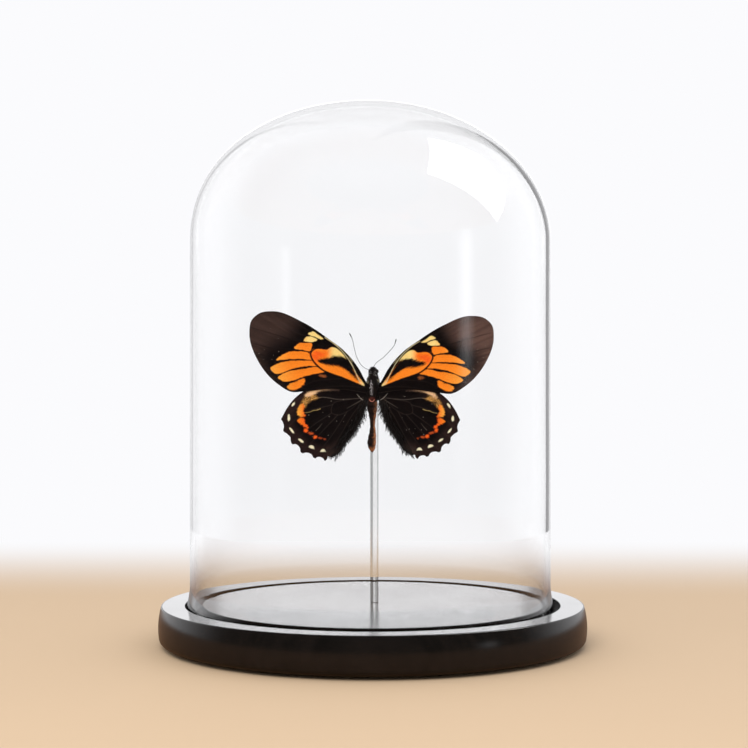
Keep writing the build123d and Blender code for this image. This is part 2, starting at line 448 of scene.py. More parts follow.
LACQUER = lacquered_wood()
FELT = felt()
GLASS = clear("blown_glass", 1.48, (0.99, 0.992, 0.992), (0.8, 0.8, 0.79), 0.07, 0.00006)
ACRYLIC = clear("cast_acrylic", 1.49, (0.95, 0.95, 0.94), (0.8, 0.8, 0.68), 0.03, 0.00001)
GLUE = clear("clear_glue", 1.46, (0.93, 0.93, 0.91), (0.6, 0.6, 0.58), 0.002, 0.00004)
SCALES = wing_scales()
HAIR = hair_coat()
SHELL = cuticle("scaled_cuticle", (0.002, 0.0015, 0.001), (0.012, 0.008, 0.006), 0.35)
HORN = cuticle("bare_cuticle", (0.002, 0.001, 0.001), (0.01, 0.006, 0.004), 0.3)
EYE = faceted_eye()


# ---------------------------------------------------------------- base, pads, rod and glue

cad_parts["display_base"].material_slots[0].material = LACQUER
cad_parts["stand_rod"].material_slots[0].material = ACRYLIC


PAD_AROUND = 96
PAD_EDGE_SHARE = 0.2  # of a pad's thickness that its rims are rounded by
PAD_FUZZ = 0.012  # of a pad's radius


def felt_pad(node):
    """A cut felt disc: flat faces, softly rounded rims and a fuzzy side."""
    low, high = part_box(node)
    radius = (high.x - low.x) / 2
    centre = np.array([(low.x + high.x) / 2, (low.y + high.y) / 2, 0.0])
    soft = PAD_EDGE_SHARE * (high.z - low.z)
    outline = [(0.5, 0), (0.9, 0), (1 - soft / radius, 0), (1, soft)]
    rings = [np.array([[centre[0], centre[1], low.z]])]
    rows = [(share * radius, low.z + rise) for share, rise in outline]
    rows += [(r, low.z + high.z - z) for r, z in reversed(rows)]
    for r, z in rows:
        ring = level_ring(centre + (0, 0, z), r, r, PAD_AROUND)
        ring[:, :2] -= (ring[:, :2] - centre[:2]) * PAD_FUZZ * rng.random((PAD_AROUND, 1))
        rings.append(ring)
    rings.append(np.array([[centre[0], centre[1], high.z]]))
    pad = piece(f"{node}_felt", skin(rings), FELT, replaces=[node])


for number in range(1, 5):
    felt_pad(f"foot_pad_{number}")

glue_drop = egg("glue_bead", steepest=80, ring_count=17, around=32, sag=0.08)
piece("glue_drop", glue_drop, GLUE, replaces=["glue_bead"])

# ---------------------------------------------------------------- glass dome

RIM_WALL = 3.1 * MM
GLASS_WALL = 2.5 * MM
RIM_FLARE = 1.8 * MM
FLARE_HEIGHT = 16 * MM
RIM_ROUND = 1.3 * MM
CROWN_RISE = 68.7 * MM
CROWN_SHARPNESS = 2.0  # 2 is an ellipse
LEFT_SHOULDER = 0.15  # the left shoulder is blown this much fuller
DOME_AROUND = 320
CROWN_ROWS = 56
FLARE_ROWS = 14
WALL_ROWS = 24
RIM_ROWS = 7


def dome_shape():
    """The blown bell as one closed wall: outside from rim to crown, then inside back down."""
    centre = np.array([(dome_low.x + dome_high.x) / 2, (dome_low.y + dome_high.y) / 2, 0])
    radius = (dome_high.x - dome_low.x) / 2 - RIM_FLARE
    crown_start = dome_high.z - CROWN_RISE
    turn = np.arange(DOME_AROUND) * 2 * math.pi / DOME_AROUND
    sharpness = CROWN_SHARPNESS + LEFT_SHOULDER * (1 - np.cos(turn)) / 2
    flat = np.stack([np.cos(turn), np.sin(turn), np.zeros(DOME_AROUND)], axis=1)

    def ring(reach, height):
        """One ring, where reach and height may differ around it."""
        ring_points = centre + flat * np.broadcast_to(reach, DOME_AROUND)[:, None]
        ring_points[:, 2] = height
        return ring_points

    def crown(wall):
        """Rings from the shoulder up to near the pole, as a superellipse that differs around it."""
        made = []
        for share in np.linspace(0, 1, CROWN_ROWS)[1:-1]:
            reach = math.cos(share * math.pi / 2)
            rise = (1 - reach**sharpness) ** (1 / sharpness)
            made.append(ring(reach * (radius - wall), crown_start + rise * (CROWN_RISE - wall)))
        return made

    def wall_side(wall, rim_wall):
        """Rings from the rim up to the shoulder."""
        made = []
        for share in np.linspace(0, 1, FLARE_ROWS):
            flare = RIM_FLARE * (1 - soft_step(share, 0, 1))
            height = dome_low.z + RIM_ROUND + share * (FLARE_HEIGHT - RIM_ROUND)
            thickness = rim_wall + (wall - rim_wall) * soft_step(share, 0, 1)
            made.append(ring(radius + flare - thickness, height))
        for height in np.linspace(dome_low.z + FLARE_HEIGHT, crown_start, WALL_ROWS)[1:]:
            made.append(ring(radius - wall, height))
        return made

    outside = wall_side(0.0, 0.0) + crown(0.0)
    inside = wall_side(GLASS_WALL, RIM_WALL) + crown(GLASS_WALL)
    rim = []
    outer_edge, inner_edge = radius + RIM_FLARE, radius + RIM_FLARE - RIM_WALL
    for angle in np.linspace(0, 90, RIM_ROWS)[1:]:
        bend = math.radians(angle)
        rim.append((RIM_ROUND * (1 - math.cos(bend)), RIM_ROUND * (1 - math.sin(bend))))
    rings = [ring(inner_edge + inward, dome_low.z + height) for inward, height in rim]
    rings += [ring(outer_edge - inward, dome_low.z + height) for inward, height in reversed(rim)]
    top = np.array([centre + (0, 0, dome_high.z)])
    under_top = np.array([centre + (0, 0, dome_high.z - GLASS_WALL)])
    loop = [under_top, *reversed(inside), *rings, *outside, top]
    return skin(loop)


piece("blown_dome", dome_shape(), GLASS, body="dome", replaces=["glass_dome"])

# ---------------------------------------------------------------- wings

# All wing shapes are (outward, upward) in mm from the butterfly's origin, in the wing's plane.
FOREWING_EDGE = [
    [
        (2.6, 0.0), (4.2, 2.4), (6.8, 7.2), (10.2, 12.1), (14.8, 17.0), (21.6, 22.1), (34.8, 30.6),
        (48.5, 35.7), (55.5, 34.7), (59.2, 31.4), (60.3, 25.0), (56.3, 11.9), (46.7, 0.5),
        (39.8, -3.4), (34.2, -3.2),
    ],
    [(34.2, -3.2), (18.0, -1.8), (2.6, -3.4)],
]
INNER_MARGIN = [
    (22.4, -34.8), (20.9, -35.1), (18.6, -34.2), (13.4, -28.5), (8.8, -22.4), (5.2, -15.2),
    (2.6, -7.0),
]
HINDWING_EDGE = [
    [(2.6, -2.4), (14.0, 0.4), (26.0, 0.6), (34.5, -3.3), (38.7, -6.7), (41.9, -10.8), (45.1, -16.6)],
    [(45.1, -16.6), (44.1, -18.4), (43.7, -20.2), (44.0, -22.3), (42.2, -23.7), (40.5, -25.4)],
    [(40.5, -25.4), (40.3, -27.6), (39.6, -28.8), (38.2, -28.7), (35.9, -30.8), (35.7, -32.5)],
    [(35.7, -32.5), (34.7, -33.2), (33.4, -32.9), (30.2, -33.9), (29.4, -35.3), (28.4, -35.7)],
    [(28.4, -35.7), (27.5, -35.1), (24.6, -35.8), (23.8, -36.9), (22.9, -36.2), (22.4, -34.8)],
    INNER_MARGIN,
]

BLACK = (0.0040, 0.0016, 0.0014)
BROWN = (0.044, 0.024, 0.019)
ORANGE = (0.97, 0.24, 0.014)
AMBER = (0.97, 0.39, 0.05)
RED_ORANGE = (0.93, 0.12, 0.01)
STRAW = (0.96, 0.7, 0.24)
MARGIN_BROWN = (0.02, 0.0085, 0.0075)
INNER_BROWN = (0.04, 0.022, 0.018)
GOLD = (0.85, 0.42, 0.1)
PEACH = (0.92, 0.57, 0.31)
DULL_ORANGE = (0.3, 0.08, 0.02)
COSTAL_CREAM = (0.75, 0.64, 0.36)
SPOT_CREAM = (0.95, 0.88, 0.6)
DULL_RED = (0.55, 0.08, 0.015)
STREAK_BROWN = (0.1, 0.06, 0.045)
VEIN_GREY = (0.1, 0.08, 0.065)
FOREWING_VEIN = (0.03, 0.018, 0.014)
HINDWING_VEIN = (0.035, 0.024, 0.02)
FOREWING_WEAR = (0.35, 0.28, 0.24)
HINDWING_WEAR = (0.3, 0.26, 0.22)

# Each patch: colour at its inner end, colour at its outer end, feather in mm, outline in mm.
SPOT_BANDS = [
    (STRAW, STRAW, 0.3, [
        (31.9, 24.7), (29.7, 25.9), (27.0, 24.2), (24.6, 22.3), (26.6, 22.4), (28.9, 23.5),
    ]),
    (STRAW, AMBER, 0.3, [
        (34.2, 21.3), (32.5, 23.4), (29.6, 23.1), (27.5, 22.0), (29.8, 20.8), (32.1, 20.9),
    ]),
    (ORANGE, AMBER, 0.3, [
        (38.7, 17.8), (36.6, 20.0), (33.6, 20.4), (30.3, 20.3), (31.2, 16.3), (34.7, 17.0),
    ]),
    (ORANGE, AMBER, 0.3, [
        (47.3, 12.1), (44.1, 14.7), (41.1, 16.0), (36.6, 16.3), (32.0, 15.6), (29.6, 12.3),
        (34.4, 12.6), (41.9, 12.5),
    ]),
    (ORANGE, AMBER, 0.3, [
        (50.1, 8.2), (46.0, 10.5), (41.1, 11.6), (34.4, 11.8), (29.4, 11.5), (27.0, 9.4),
        (32.1, 9.2), (38.1, 8.3), (48.5, 6.0),
    ]),
    (ORANGE, AMBER, 0.3, [
        (46.5, 3.6), (44.5, 5.3), (40.4, 6.8), (34.4, 7.7), (26.4, 8.4), (23.2, 6.6), (27.6, 5.6),
        (33.6, 4.2), (38.1, 2.6), (44.1, 2.0),
    ]),
    (ORANGE, AMBER, 0.6, [
        (41.9, -0.7), (40.6, 0.6), (37.4, 1.8), (33.7, 2.9), (33.6, 1.2), (35.9, -1.1),
        (39.2, -2.3), (41.2, -1.9),
    ]),
    (DULL_ORANGE, DULL_ORANGE, 1.1, [(26.5, 4.5), (24.9, 5.0), (23.1, 4.3), (24.4, 3.8)]),
]
CELL = [
    (30.3, 14.7), (28.9, 16.8), (25.7, 17.4), (22.7, 17.0), (20.6, 18.2), (18.9, 18.0),
    (16.3, 16.2), (12.4, 11.2), (9.1, 6.4), (4.7, -0.4), (8.0, 0.9), (11.8, 2.5), (15.6, 4.0),
    (19.3, 5.2), (24.6, 7.6), (28.5, 11.1),
]
CELL_TOP = [
    (31.0, 14.0), (29.5, 17.2), (22.7, 17.4), (20.4, 18.7), (19.2, 18.4), (16.0, 16.2),
    (13.0, 12.6), (17.1, 12.9), (22.4, 11.6), (27.6, 9.6),
]
CELL_END = [
    (30.4, 14.0), (28.8, 16.0), (25.6, 16.3), (22.9, 15.8), (22.7, 14.8), (24.6, 13.8),
    (26.6, 12.4), (28.0, 11.2),
]
CELL_TONGUE = [
    (27.1, 12.0), (23.7, 13.1), (21.3, 13.5), (17.9, 14.1), (14.9, 13.6), (12.7, 12.4), (10.1, 8.5),
    (8.5, 4.9), (6.8, 1.9), (8.0, 2.5), (10.5, 4.3), (13.0, 6.5), (15.4, 8.0), (18.2, 9.0),
    (21.3, 9.5), (24.2, 10.1), (26.7, 11.2),
]
# Each patch of the cell with the stretch, in mm outward, over which its colour changes.
CELL_PATCHES = [
    ((STRAW, ORANGE, 0.5, CELL), (4.0, 8.5)),
    ((STRAW, ORANGE, 0.5, CELL_TOP), (18.5, 23.5)),
    ((RED_ORANGE, RED_ORANGE, 2.4, CELL_END), None),
]
APEX_FIELD = [
    (37.0, 33.5), (49.0, 38.0), (64.0, 35.0), (63.0, 14.0), (50.0, -3.0), (42.0, -5.5), (48.5, 2.6),
    (53.0, 9.0), (54.0, 14.5), (49.0, 19.5), (40.0, 25.0),
]
COSTAL_LINES = [
    [
        (23.8, 23.0), (20.1, 20.6), (16.3, 17.4), (14.0, 14.8), (11.2, 10.8), (9.4, 7.4),
        (7.9, 4.1), (6.7, 1.5), (4.7, -0.4),
    ],
    [(23.4, 23.6), (19.5, 21.2), (15.5, 18.0), (13.1, 15.3), (10.4, 11.2)],
]
CELL_VEIN = [
    (30.6, 16.4), (30.3, 14.0), (28.9, 11.3), (26.9, 9.2), (24.4, 7.2), (20.6, 5.6), (15.6, 3.8),
    (8.0, 0.7), (4.7, -0.6),
]
FOREWING_VEINS = [
    [(5.0, 0.4), (13.0, 13.6), (24.0, 23.6), (36.0, 30.4), (45.0, 34.6)],
    [(24.0, 22.9), (32.5, 26.9), (43.0, 32.2), (52.0, 35.0)],
    [(27.2, 22.2), (34.0, 23.9), (47.0, 29.4), (57.5, 33.2)],
    [(30.0, 20.5), (34.7, 20.7), (48.0, 24.5), (60.0, 28.0)],
    [(31.2, 16.1), (39.0, 17.0), (49.0, 17.8), (59.6, 20.5)],
    [(29.4, 12.0), (36.0, 12.2), (42.5, 12.1), (48.5, 11.5), (57.6, 14.5)],
    [(26.7, 9.1), (32.1, 8.6), (38.1, 7.9), (48.8, 5.4), (53.8, 7.6)],
    [(22.8, 6.4), (27.6, 5.2), (33.6, 3.6), (38.1, 2.2), (44.0, 1.3), (48.6, 2.3)],
    [(14.5, 3.2), (30.0, 1.4), (38.0, -2.6), (40.6, -3.3)],
    [(3.0, -1.4), (16.0, -0.6), (34.0, -2.8)],
    CELL_VEIN,
]

# Each spot: colour, feather in mm, centre, half length, half width, direction in degrees, bend.
HINDWING_SPOTS = [
    (SPOT_CREAM, 0.3, (39.1, -9.3), 1.25, 0.5, 122, 0.0),
    (SPOT_CREAM, 0.3, (41.3, -16.0), 1.45, 0.6, 90, 0.0),
    (SPOT_CREAM, 0.3, (39.9, -22.1), 1.6, 0.46, 53, 0.0),
    (SPOT_CREAM, 0.3, (35.5, -27.0), 1.45, 0.55, 36, 0.0),
    (SPOT_CREAM, 0.3, (30.2, -30.1), 1.35, 0.66, 22, -0.18),
    (SPOT_CREAM, 0.3, (24.7, -31.8), 1.35, 0.66, 0, -0.3),
    (RED_ORANGE, 0.8, (33.1, -22.1), 0.95, 0.95, 0, 0.0),
    (DULL_RED, 0.8, (30.7, -23.5), 1.2, 0.5, 15, 0.0),
    (RED_ORANGE, 0.8, (28.5, -25.3), 0.85, 0.7, 20, 0.0),
    (DULL_RED, 0.8, (26.2, -25.8), 0.75, 0.4, 0, 0.0),
    (DULL_RED, 0.8, (23.9, -26.4), 0.4, 0.3, 0, 0.0),
    (BROWN, 1.6, (20.6, -33.0), 2.6, 1.6, 30, 0.0),
]
CRESCENT = [
    (34.4, -9.1), (35.8, -9.7), (36.9, -11.6), (37.3, -13.3), (36.5, -15.0), (34.9, -15.3),
    (33.4, -15.0), (34.1, -13.6), (34.5, -12.6), (33.8, -10.9),
]
LOWER_CRESCENT = [
    (37.3, -17.4), (36.3, -16.2), (34.9, -15.8), (33.7, -16.6), (33.8, -18.2), (32.3, -20.0),
    (31.9, -21.1), (33.2, -20.5), (34.8, -19.4), (36.3, -18.5),
]
GOLD_DUST = [
    (35.4, -9.8), (34.6, -7.6), (33.0, -5.6), (30.5, -4.6), (28.5, -5.2), (27.6, -6.4),
    (29.4, -7.0), (31.4, -8.0), (32.6, -9.4), (33.6, -10.8),
]
TOP_STREAK = [
    (33.4, -5.4), (32.2, -3.9), (30.4, -3.0), (26.4, -2.2), (21.4, -2.0), (17.0, -2.5),
    (21.4, -2.5), (26.4, -2.9), (29.0, -4.2), (31.0, -5.4),
]
HINDWING_PATCHES = [
    ((STREAK_BROWN, PEACH, 1.0, TOP_STREAK), (19.0, 29.5)),
    ((RED_ORANGE, AMBER, 0.7, CRESCENT), (32.5, 37.0)),
    ((RED_ORANGE, ORANGE, 0.7, LOWER_CRESCENT), (32.5, 38.5)),
]
# Each fine line of the hindwing: colour, width in mm, how strong, points.
HINDWING_LINES = [
    (GOLD, 0.4, 0.7, [(30.5, -7.2), (28.0, -6.4), (25.8, -6.1)]),
    (VEIN_GREY, 0.36, 0.8, [
        (28.0, -6.4), (25.0, -6.0), (22.0, -6.3), (18.5, -6.9), (11.3, -6.9), (5.0, -6.4),
    ]),
    (STRAW, 0.32, 0.5, [(26.0, -11.6), (27.6, -12.2), (29.4, -12.4), (31.0, -13.1), (33.4, -13.5)]),
    (VEIN_GREY, 0.4, 0.7, [(28.2, -22.2), (26.6, -20.6), (25.2, -18.8)]),
    (VEIN_GREY, 0.4, 0.7, [(5.4, -7.1), (8.2, -8.7), (13.0, -11.4)]),
]
HINDWING_VEINS = [
    [(3.0, -4.0), (16.0, -2.0), (28.0, -3.0), (40.4, -8.6)],
    [(5.0, -6.4), (18.5, -6.9), (25.0, -6.0), (31.0, -7.6), (44.6, -16.2)],
    [(20.0, -9.6), (33.4, -13.5), (43.6, -21.8)],
    [(20.5, -13.6), (30.0, -20.0), (40.0, -28.4)],
    [(17.5, -14.6), (26.5, -24.0), (35.2, -32.9)],
    [(13.0, -13.0), (20.0, -24.0), (28.9, -35.3)],
    [(3.0, -5.4), (10.0, -14.0), (16.5, -25.0), (23.4, -36.4)],
    [(11.0, -6.9), (20.0, -9.6), (20.5, -13.6), (17.5, -14.6), (13.0, -13.0), (4.0, -5.2)],
]


def edge_line(stretches, step):
    """The closed outline of a wing as evenly spaced points, with a corner between stretches."""
    line = [smooth_line(stretch, step)[:-1] for stretch in stretches]
    end, start = np.array(stretches[-1][-1]), np.array(stretches[0][0])
    count = max(2, int(np.linalg.norm(end - start) / step))
    line.append(end + (start - end) * np.arange(count)[:, None] / count)
    return np.vstack(line)


WING_STEP = 0.24  # mm between the wing's points
OUTLINE_STEP = 0.5  # mm between the points of a patch's or vein's smooth line
ROW_STEP = 0.87  # of WING_STEP, so that the grid's triangles are nearly equal sided
CLEAR_OF_EDGE = 0.55  # of WING_STEP, kept free inside the outline
COARSE_STEP = 1.0  # mm, for a quick first look at which points lie inside
COARSE_CLEARANCE = 0.3  # mm


def wing_grid(stretches):
    """Points, triangles and rim of a wing: a triangular grid inside its outline."""
    edge = edge_line(stretches, WING_STEP)
    low, high = edge.min(0), edge.max(0)
    rows = np.arange(low[1], high[1], WING_STEP * ROW_STEP)
    grid = []
    for number, row in enumerate(rows):
        across = np.arange(low[0] + WING_STEP / 2 * (number % 2), high[0], WING_STEP)
        grid.append(np.stack([across, np.full(len(across), row)], axis=1))
    grid = np.vstack(grid)
    grid = grid[depth_inside(grid, edge_line(stretches, COARSE_STEP)) > COARSE_CLEARANCE]
    grid = grid[depth_inside(grid, edge) > CLEAR_OF_EDGE * WING_STEP]
    points = np.vstack([edge, grid])
    rim = [(i, (i + 1) % len(edge)) for i in range(len(edge))]
    flat, _, triangles, *_ = delaunay_2d_cdt([Vector(p) for p in points], rim, [], 1, 1e-6)
    assert len(flat) == len(points)
    return points, [tuple(t) for t in triangles], len(edge)


def paint(tints, cover, colour):
    """Lays a colour over tints where cover is above 0."""
    tints += cover[:, None] * (np.asarray(colour) - tints)


def rays(points, count):
    """Noise that stays the same along each line from the wing's root, with count lines a turn."""
    angle = np.arctan2(points[:, 1] + 2.0, points[:, 0])
    levels = rng.standard_normal(count)
    place = (angle + math.pi) / (2 * math.pi) * count
    low = np.floor(place).astype(int) % count
    share = place - np.floor(place)
    return levels[low] * (1 - share) + levels[(low + 1) % count] * share


def fringe(points, size):
    """Raggedness of a patch's edge in mm, scale by scale and ray by ray."""
    return size * (0.6 * rng.standard_normal(len(points)) + 0.8 * rays(points, 500))


def paint_patch(tints, points, patch, reach=None):
    """Paints a patch whose colour runs outward from its inner to its outer colour over a reach."""
    inner, outer, feather, outline = patch
    across = [p[0] for p in outline]
    reach = reach or ((min(across) + max(across)) / 2, max(across) + 3)
    edge = smooth_line(outline, OUTLINE_STEP, closed=True)
    depth = depth_inside(points, edge) + fringe(points, 0.3 * feather)
    outward = soft_step(points[:, 0], *reach)[:, None]
    colour = np.asarray(inner) * (1 - outward) + np.asarray(outer) * outward
    cover = soft_step(depth, -feather / 2, feather / 2)
    tints += cover[:, None] * (colour - tints)


def paint_line(tints, points, line, width, colour, strength=1.0, fade=0.6):
    """Draws a vein or streak that fades towards its far end."""
    gap, along = distance_to_line(points, smooth_line(line, OUTLINE_STEP))
    cover = strength * (1 - soft_step(gap, 0.25 * width, 0.75 * width)) * (1 - fade * along)
    paint(tints, cover, colour)


def paint_spot(tints, points, spot):
    """Paints an oval spot, bent into a crescent where its bend isn't 0."""
    colour, feather, centre, half_length, half_width, direction, bend = spot
    turn = math.radians(direction)
    offset = points - centre
    along = offset[:, 0] * math.cos(turn) + offset[:, 1] * math.sin(turn)
    aside = offset[:, 1] * math.cos(turn) - offset[:, 0] * math.sin(turn) - bend * along**2
    size = np.sqrt((along / half_length) ** 2 + (aside / half_width) ** 2)
    inside = (1 - size) * half_width + fringe(points, 0.2 * feather)
    paint(tints, soft_step(inside, -feather / 2, feather / 2), colour)


def worn_specks(tints, points, edge_low, edge_high, count, colour):
    """Small pale specks where scales are lost, inside a box of the wing."""
    for _ in range(count):
        spot, size = rng.uniform(edge_low, edge_high), rng.uniform(0.08, 0.24)
        gap = np.linalg.norm(points - spot, axis=1)
        paint(tints, 0.7 * (1 - soft_step(gap, 0.3 * size, size + 0.4 * WING_STEP)), colour)


# Each forewing's tip is painted brown, its own colour; the right tip is painted lighter still, a painted
# sheen of reflected light.
APEX_BROWN_AND_SHEEN = {"left": 1.0, "right": 2.4}  # of BROWN, on each forewing's tip
APEX_FADE = (-5.0, 7.0)  # mm inside the tip's field
APEX_RAY_FADE = (-3.0, 3.0)  # mm inside the tip's field
# Fine lines that run out from a wing's root: how strong, lines a turn.
FOREWING_RAYS = (0.14, 420)
HINDWING_RAYS = (0.13, 260)
MARGIN_FADE = (3.0, 7.0)  # mm in from the hindwing's edge
OUTER_FADE = (24.0, 30.0)  # mm out from the root, aslant
FOLD_FADE = (0, 12)  # mm towards the body, aslant
TAIL_FADE = (27.0, 33.0)  # mm below the origin


def forewing_tints(points, side):
    """The painted colours of a forewing."""
    points = points / PATTERN_SIZE[side]
    tints = np.tile(np.array(BLACK), (len(points), 1))
    apex = depth_inside(points, smooth_line(APEX_FIELD, 1.0, closed=True))
    # Painted sheen: the right tip's brown is painted lighter than the left's.
    paint(tints, soft_step(apex, *APEX_FADE), APEX_BROWN_AND_SHEEN[side] * np.array(BROWN))
    strength, count = FOREWING_RAYS
    tints *= (1 + strength * rays(points, count) * soft_step(apex, *APEX_RAY_FADE))[:, None]
    for vein in FOREWING_VEINS[:-1]:
        paint_line(tints, points, vein, 0.5, FOREWING_VEIN, 0.3)
    for patch in SPOT_BANDS:
        paint_patch(tints, points, patch)
    for patch, reach in CELL_PATCHES:
        paint_patch(tints, points, patch, reach)
    into_cell = depth_inside(points, smooth_line(CELL, OUTLINE_STEP, closed=True))
    near_cell = soft_step(-into_cell, 0.0, 0.25) * soft_step(into_cell, -1.2, -0.5)
    paint(tints, near_cell * (points[:, 0] < 31.5), BLACK)
    paint_patch(tints, points, (BLACK, BLACK, 1.1, CELL_TONGUE))
    for vein in (*FOREWING_VEINS[3:8], CELL_VEIN):
        paint_line(tints, points, vein, 0.4, BLACK, 0.9)
    for line, strength in zip(COSTAL_LINES, (1.0, 0.45)):
        paint_line(tints, points, line[::-1], 0.3, COSTAL_CREAM, strength, 0.15)
    worn_specks(tints, points, (46, 2), (58, 24), 16, FOREWING_WEAR)
    return tints


def hindwing_tints(points, side):
    """The painted colours of a hindwing."""
    tints = np.tile(np.array(BLACK), (len(points), 1))
    near_edge = depth_inside(points, edge_line(HINDWING_EDGE, 1.0))
    across, height = points[:, 0], points[:, 1]
    outer = soft_step(across - 0.3 * height, *OUTER_FADE)
    paint(tints, (1 - soft_step(near_edge, *MARGIN_FADE)) * outer, MARGIN_BROWN)
    inner_fold = soft_step(15 - across - 0.3 * (height + 30), *FOLD_FADE) * (height < -8)
    tail = soft_step(-height, *TAIL_FADE) * (across < 23)
    paint(tints, 0.5 * np.maximum(inner_fold, tail), INNER_BROWN)
    strength, count = HINDWING_RAYS
    tints *= (1 + strength * rays(points, count))[:, None]
    for vein in HINDWING_VEINS:
        paint_line(tints, points, vein, 0.5, HINDWING_VEIN, 0.5)
    for colour, width, strength, line in HINDWING_LINES:
        paint_line(tints, points, line, width, colour, strength)
    dusting = depth_inside(points, smooth_line(GOLD_DUST, 0.6, closed=True))
    grains = (rng.random(len(points)) < 0.5) * soft_step(dusting, -1.0, 0.8)
    paint(tints, 0.85 * grains, GOLD)
    for patch, reach in HINDWING_PATCHES:
        paint_patch(tints, points, patch, reach)
    for spot in HINDWING_SPOTS:
        paint_spot(tints, points, spot)
    worn_specks(tints, points, (8, -26), (32, -5), 14, HINDWING_WEAR)
    return tints


WING_LIFT = {"left": 5.0, "right": 11.0}
WING_DROOP = {"left": 0.0, "right": 1.4}
WING_SIZE = {"left": {"forewing": 1.0, "hindwing": 1.0}, "right": {"forewing": 0.965, "hindwing": 0.957}}
PATTERN_SIZE = {"left": 1.0, "right": 0.98}  # of the forewing's marks, within the wing
WING_THICKNESS = 0.1
CAMBER = 1.1
WING_REACH = 64  # from the butterfly's middle to past the forewing's tip
PLEAT_DEPTH, PLEAT_WIDTH = 0.18, 3.0  # of the hollows between veins
VEIN_HEIGHT, VEIN_SIDE = 0.09, (0.05, 0.3)  # and where its side starts and ends
UNDERSIDE_BROWN = (0.1, 0.062, 0.045)
UNDERSIDE_DULLNESS = 0.25


def wing_frame(side):
    """Unit vectors of a wing's plane: along it, up it, and off it towards the viewer."""
    lift, droop = math.radians(WING_LIFT[side]), math.radians(WING_DROOP[side])
    outward = np.array([SIDES[side] * math.cos(lift), -math.sin(lift), 0])
    upright = np.array([0, 0, 1.0])
    along = outward * math.cos(droop) - upright * math.sin(droop)
    up = upright * math.cos(droop) + outward * math.sin(droop)
    off = np.array([-SIDES[side] * math.sin(lift), -math.cos(lift), 0])
    return along, up, off


def camber(points):
    """How far the wing bulges towards the viewer."""
    return CAMBER * np.sin(np.pi * np.clip(points[:, 0] / WING_REACH, 0, 1))


def wing_relief(points, veins):
    """How far the wing stands off its plane, and how far its veins stand up from it."""
    nearest = np.full(len(points), 9.0)
    for vein in veins:
        gap, _ = distance_to_line(points, smooth_line(vein, 0.8))
        nearest = np.minimum(nearest, gap)
    pleat = PLEAT_DEPTH * soft_step(nearest, 0.0, PLEAT_WIDTH)
    ridge = VEIN_HEIGHT * (1 - soft_step(nearest, *VEIN_SIDE))
    return camber(points) - pleat, ridge


def wing(kind, side, stretches, veins, tinted, depth):
    """One wing: two painted faces a scale's depth apart, closed round the rim."""
    drawn, triangles, rim = wing_grid(stretches)
    along, up, off = wing_frame(side)
    rise, ridge = wing_relief(drawn, veins)
    points = drawn * WING_SIZE[side][kind]
    flat = points[:, :1] * along + points[:, 1:] * up + np.array([0, depth, 0])
    front = flat + (rise + ridge + WING_THICKNESS / 2)[:, None] * off
    back = flat + (rise - ridge - WING_THICKNESS / 2)[:, None] * off
    n = len(points)
    turned = [t[::-1] for t in triangles]
    faces, under = (triangles, turned) if SIDES[side] < 0 else (turned, triangles)
    faces = [*faces, *[tuple(n + i for i in t) for t in under]]
    for i in range(rim):
        j = (i + 1) % rim
        faces.append((i, j, n + j, n + i) if SIDES[side] > 0 else (j, i, n + i, n + j))
    tints = tinted(drawn, side)
    underside = tints + UNDERSIDE_DULLNESS * (np.array(UNDERSIDE_BROWN) - tints)
    shape = (np.vstack([front, back]), faces)
    colours = np.vstack([tints, underside])
    name = f"{kind}_{side}"
    on_butterfly(f"{name}_scaled", shape, SCALES, colours, [name])


FOREWING_DEPTH, HINDWING_DEPTH = -1.9, -1.1
CLUMP_STEPS = 9  # places along the margin that share one clump
CLUMP_HAIRS = 16
CLUMP_LEAN = (0.35, 0.65)  # away from the wing, as a share of its way along the margin
CLUMP_LENGTH = (1.4, 3.8)
CLUMP_ROOT = (0.0, 1.2)  # in from the margin
LOOSE_ROOT = (0.3, 4.0)
LOOSE_LENGTH = (1.5, 3.5)
WING_HAIR_RADIUS = 0.065
WING_HAIR_GREY = (0.004, 0.025)
MARGIN_STEP = 0.12


